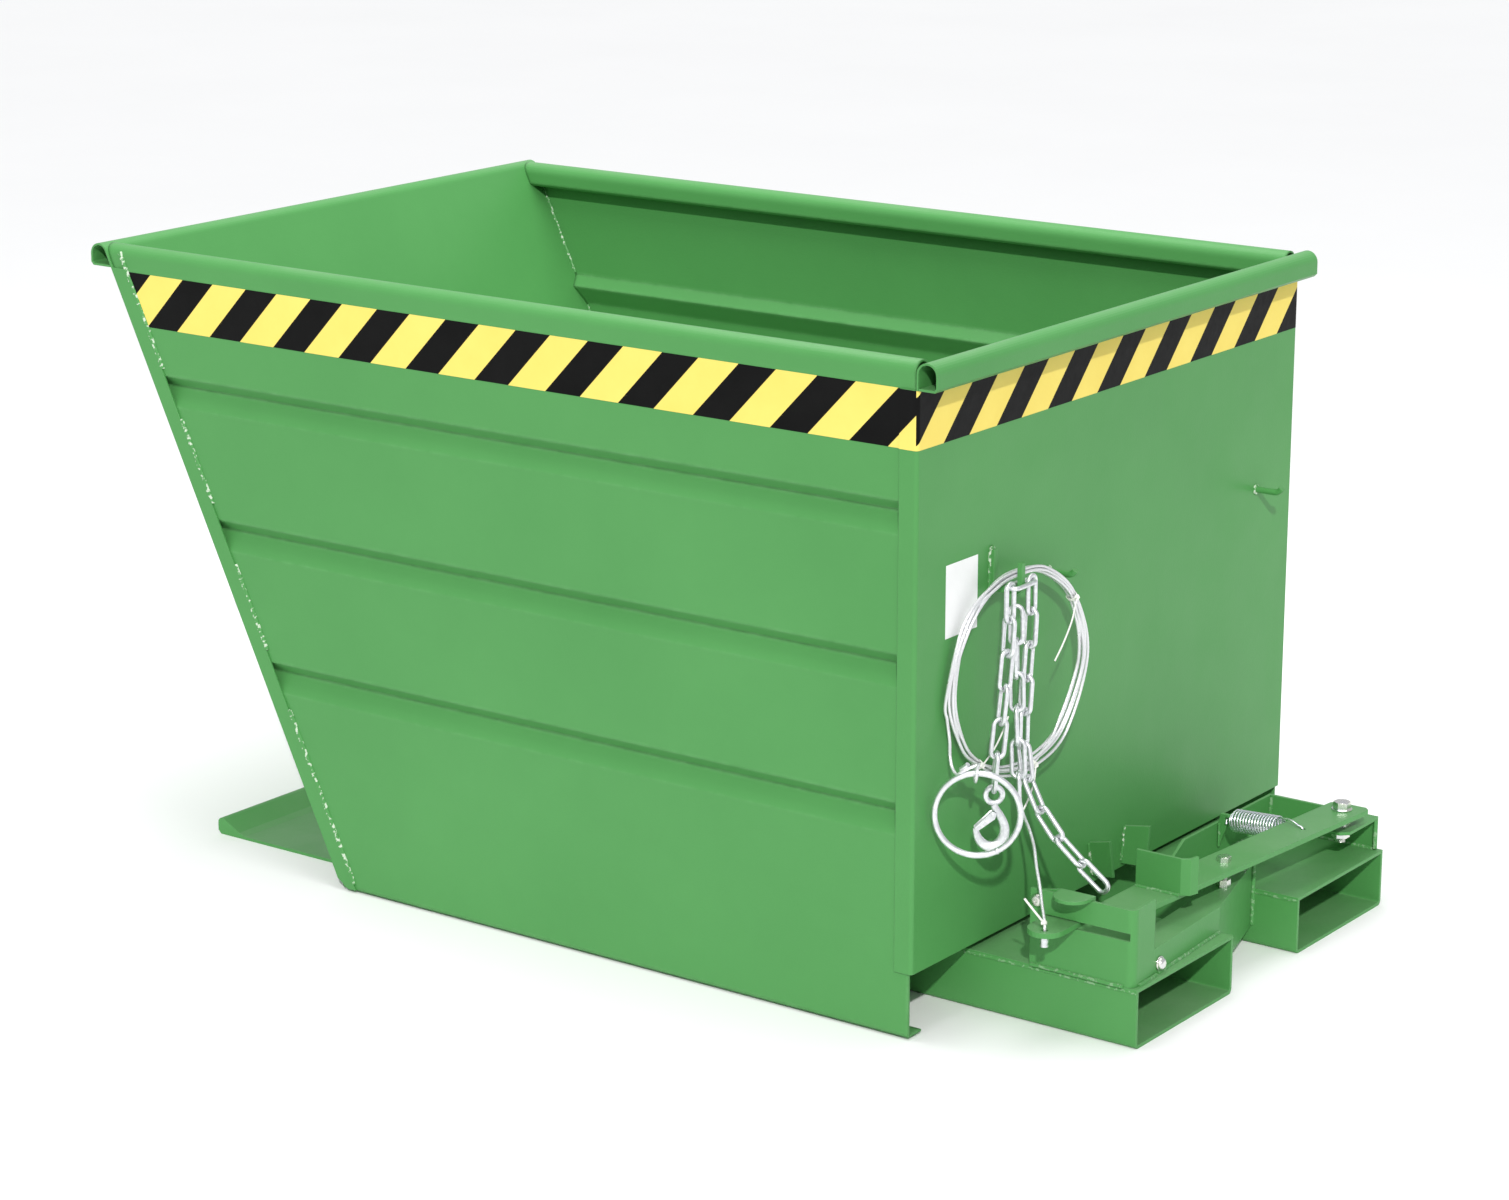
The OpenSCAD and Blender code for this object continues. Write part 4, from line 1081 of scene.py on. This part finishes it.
# %% Nylon and film
def nylon():
    made, tree, shader = material("tie_plastic")
    drift = use(tree, mottle, Scale=140.0)["Mask"]
    colour = blend_colour(tree, drift, (0.86, 0.86, 0.83, 1), (0.78, 0.78, 0.72, 1))
    rough = ramp(tree, drift, 0.0, 1.0, 0.32, 0.42)
    normal = bump(tree, use(tree, grain, Scale=700.0, Detail=2.0)["Height"], 0.08 * mm)
    feed(tree, shader, Base_Color=colour, Roughness=rough, Normal=normal, Subsurface_Weight=0.25)
    shader.inputs["Subsurface Radius"].default_value = (0.002, 0.002, 0.002)
    return made


stripe_period, stripe_black, stripe_lean, tape_middle = 135, 0.48, 0.96, 903


def tape(name, along, first, lean):
    """along gives the distance on the tape in millimetres; first is where a black stripe starts."""
    made, tree, shader = material(name)
    xyz = add(tree, "SeparateXYZ", None, Vector=add(tree, "TexCoord").outputs["Object"])
    x, y, z = [reckon(tree, "MULTIPLY", xyz.outputs[axis], 1 / mm) for axis in "XYZ"]
    x = reckon(tree, "SUBTRACT", x, rear_face / mm)
    run = along(tree, x, y)
    leaned = reckon(tree, "MULTIPLY", reckon(tree, "SUBTRACT", z, float(tape_middle)), lean)
    phase = reckon(tree, "DIVIDE", reckon(tree, "SUBTRACT", reckon(tree, "SUBTRACT", run, leaned), first),
                   float(stripe_period))
    part = reckon(tree, "FRACT", phase)
    rising = ramp(tree, part, stripe_black - 0.003, stripe_black + 0.003)
    drift = use(tree, mottle, Scale=9.0)["Mask"]
    yellow = blend_colour(tree, drift, (0.85, 0.69, 0.165, 1), (0.81, 0.64, 0.14, 1))
    black = blend_colour(tree, drift, (0.003, 0.003, 0.003, 1), (0.006, 0.006, 0.006, 1))
    colour = blend_colour(tree, rising, black, yellow)
    scuffs = use(tree, mottle, Scale=70.0)["Mask"]
    rough = ramp(tree, scuffs, 0.0, 1.0, 0.34, 0.46)
    normal = bump(tree, use(tree, mottle, Scale=26.0)["Mask"], 0.25 * mm)
    feed(tree, shader, Base_Color=colour, Roughness=rough, Normal=normal, Specular_IOR_Level=0.08)
    return made


def along_side(tree, x, y):
    return x


def along_rear(tree, x, y):
    """Where the rear tape wraps a corner, its stripes carry on from the tape of that side."""
    side = reckon(tree, "MULTIPLY", reckon(tree, "SIGN", y), -1.0)
    from_side = reckon(tree, "MULTIPLY", side, reckon(tree, "SUBTRACT", x, side_first))
    mirrored = reckon(tree, "MULTIPLY", reckon(tree, "SUBTRACT", 1.0, side),
                      stripe_black * stripe_period / 2)
    wrapped = reckon(tree, "ADD", reckon(tree, "ADD", from_side, mirrored), rear_first)
    on_wrap = reckon(tree, "LESS_THAN", x, wrap_starts)
    return reckon(tree, "ADD", y, reckon(tree, "MULTIPLY", on_wrap, reckon(tree, "SUBTRACT", wrapped, y)))


side_first, rear_first, wrap_starts = -74.7, -433.5, -3.0
tape_near = tape("hazard_tape_near", along_side, side_first, stripe_lean)
tape_far = tape("hazard_tape_far", along_side, side_first, -stripe_lean)
tape_back = tape("hazard_tape_back", along_rear, rear_first, stripe_lean)


def film():
    made, tree, shader = material("label_film")
    drift = use(tree, mottle, Scale=20.0)["Mask"]
    colour = blend_colour(tree, drift, (0.86, 0.87, 0.87, 1), (0.82, 0.83, 0.83, 1))
    rough = ramp(tree, drift, 0.0, 1.0, 0.3, 0.4)
    normal = bump(tree, use(tree, mottle, Scale=34.0)["Mask"], 0.4 * mm)
    feed(tree, shader, Base_Color=colour, Roughness=rough, Normal=normal, Coat_Weight=0.3, Coat_Roughness=0.2)
    return made


label_film = film()
print("films made")

# %% [markdown]
# Each CAD node gets its finish by name: what isn't listed is painted. The thin bin sheets and the
# thicker plates of the base have their own paints, because the rounding of their edges differs. The
# side walls have a third one, because their ribs are wide, soft folds.

# %% Finishes on the CAD nodes
def finish_with(obj, made):
    obj.data.materials.clear()
    obj.data.materials.append(made)


plates = ("ground_plate", "fork_", "rest_pads", "pivot_lugs", "near_bracket", "cross_member", "far_upstand",
          "rear_web", "spring_anchor", "latch_lever", "lever_tab", "safety_pawl", "catch_lugs", "rope_hook",
          "bar_hooks", "pivot_hangers")
special = {"bracket_screws": zinc, "axle_washers": zinc, "split_pins": zinc, "member_bolt": zinc,
           "lever_pivot_bolt": zinc, "lever_pivot_nut": zinc, "glide_bolt": zinc, "pawl_bolt": zinc,
           "latch_spring": spring_steel, "pivot_axle": axle_steel, "pivot_bushes": bronze,
           "safety_chain": galvanised, "sling_hook": galvanised, "hook_gate": galvanised,
           "gate_pin": galvanised, "pull_ring": galvanised, "cable_ferrule": galvanised,
           "cable_coil": wire_rope, "lever_cable": wire_rope, "ring_cable": wire_rope,
           "cable_ties": nylon(), "blank_label": label_film, "hazard_tape_left": tape_far,
           "hazard_tape_right": tape_near, "hazard_tape_rear": tape_back}
tie_plastic = special["cable_ties"]
for name, obj in nodes.items():
    if name in special:
        finish_with(obj, special[name])
    elif name.startswith("side_wall"):
        finish_with(obj, green_folds)
    elif name.startswith(plates):
        finish_with(obj, green_plate)
    else:
        finish_with(obj, green_sheet)
print("finished nodes", len(nodes))

# %% [markdown]
# Now every new piece gets its finish and, all but the spring, is tied to the body that it moves with.
# The CAD nodes that a piece stands for are hidden.

# %% Bodies, slots and stand-ins
def belongs(obj, body, made, slot, *replaced):
    finish_with(obj, made)
    if body:
        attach(obj, body)
    if replaced:
        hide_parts(*replaced)


for bead in bin_welds:
    belongs(bead, "bin", green_weld, "green_paint")
for bead in base_welds:
    belongs(bead, "base", base_weld, "green_paint")
belongs(tab_weld, "latch_lever", base_weld, "green_paint")
belongs(pivot_bolt, "base", zinc, "zinc_bolts", "lever_pivot_bolt")
belongs(pivot_nuts, "base", zinc, "zinc_bolts", "lever_pivot_nut")
belongs(glide_bolt, "latch_lever", zinc, "zinc_bolts", "glide_bolt")
belongs(pawl_bolt, "base", zinc, "zinc_bolts", "pawl_bolt")
belongs(member_bolt, "base", zinc, "zinc_bolts", "member_bolt")
belongs(stop_sleeve, "latch_lever", galvanised, "galvanised", "cable_ferrule")
belongs(sling_hook, "bin", galvanised, "galvanised", "sling_hook")
belongs(hook_gate, "hook_gate", galvanised, "galvanised", "hook_gate")
belongs(ring_joint, "bin", galvanised, "galvanised")
belongs(chain_end, "bin", galvanised, "galvanised")
belongs(eye_sleeve, "bin", galvanised, "galvanised")
for tie in ties:
    belongs(tie, "bin", tie_plastic, "tie_plastic", "cable_ties")
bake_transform(latch_spring)
belongs(latch_spring, None, spring_steel, "bright_spring", "latch_spring")
belongs(pull_cable, "bin", wire_rope, "wire_rope", "cable_coil", "lever_cable", "ring_cable")
print("tied to their bodies:", len(bin_welds) + len(base_welds), "welds and", len(ties), "ties")

# %% [markdown]
# ## Floor and light
# A plain pale floor, a pale room and two lights. The lamp stands behind the camera's shoulder and is
# small enough that the hooks and the cable throw readable shadows on the rear wall. The panel hangs
# over the bin and lights its inside.

# %% Floor and lights
floor = primitive(bpy.ops.mesh.primitive_plane_add, "floor", size=90)
pale, tree, shader = material("pale_floor")
feed(tree, shader, Base_Color=blend_colour(tree, use(tree, mottle, Scale=0.8)["Mask"], (0.96, 0.96, 0.96, 1),
                                           (0.94, 0.94, 0.94, 1)), Roughness=0.9, Specular_IOR_Level=0.1)
finish_with(floor, pale)

world = bpy.context.scene.world or bpy.data.worlds.new("room")
bpy.context.scene.world = world
world.use_nodes = True
background = world.node_tree.nodes["Background"]
background.inputs["Color"].default_value = (0.95, 0.97, 1.0, 1)
background.inputs["Strength"].default_value = 0.62
lamp_data = bpy.data.lights.new("lamp", "SUN")
lamp_data.energy = 2.3
lamp_data.angle = math.radians(1.6)
lamp_data.color = (1.0, 0.985, 0.96)
lamp = bpy.data.objects.new("lamp", lamp_data)
bpy.context.scene.collection.objects.link(lamp)
lamp.rotation_euler = Vector((-0.491, 0.665, -0.562)).to_track_quat("-Z", "Y").to_euler()
panel_data = bpy.data.lights.new("ceiling_panel", "AREA")
panel_data.energy = 75
panel_data.size = 2.6
panel = bpy.data.objects.new("ceiling_panel", panel_data)
bpy.context.scene.collection.objects.link(panel)
panel.location = (-0.1, 0, 3.4)
bpy.context.scene.view_settings.view_transform = "Standard"
print("stage set")
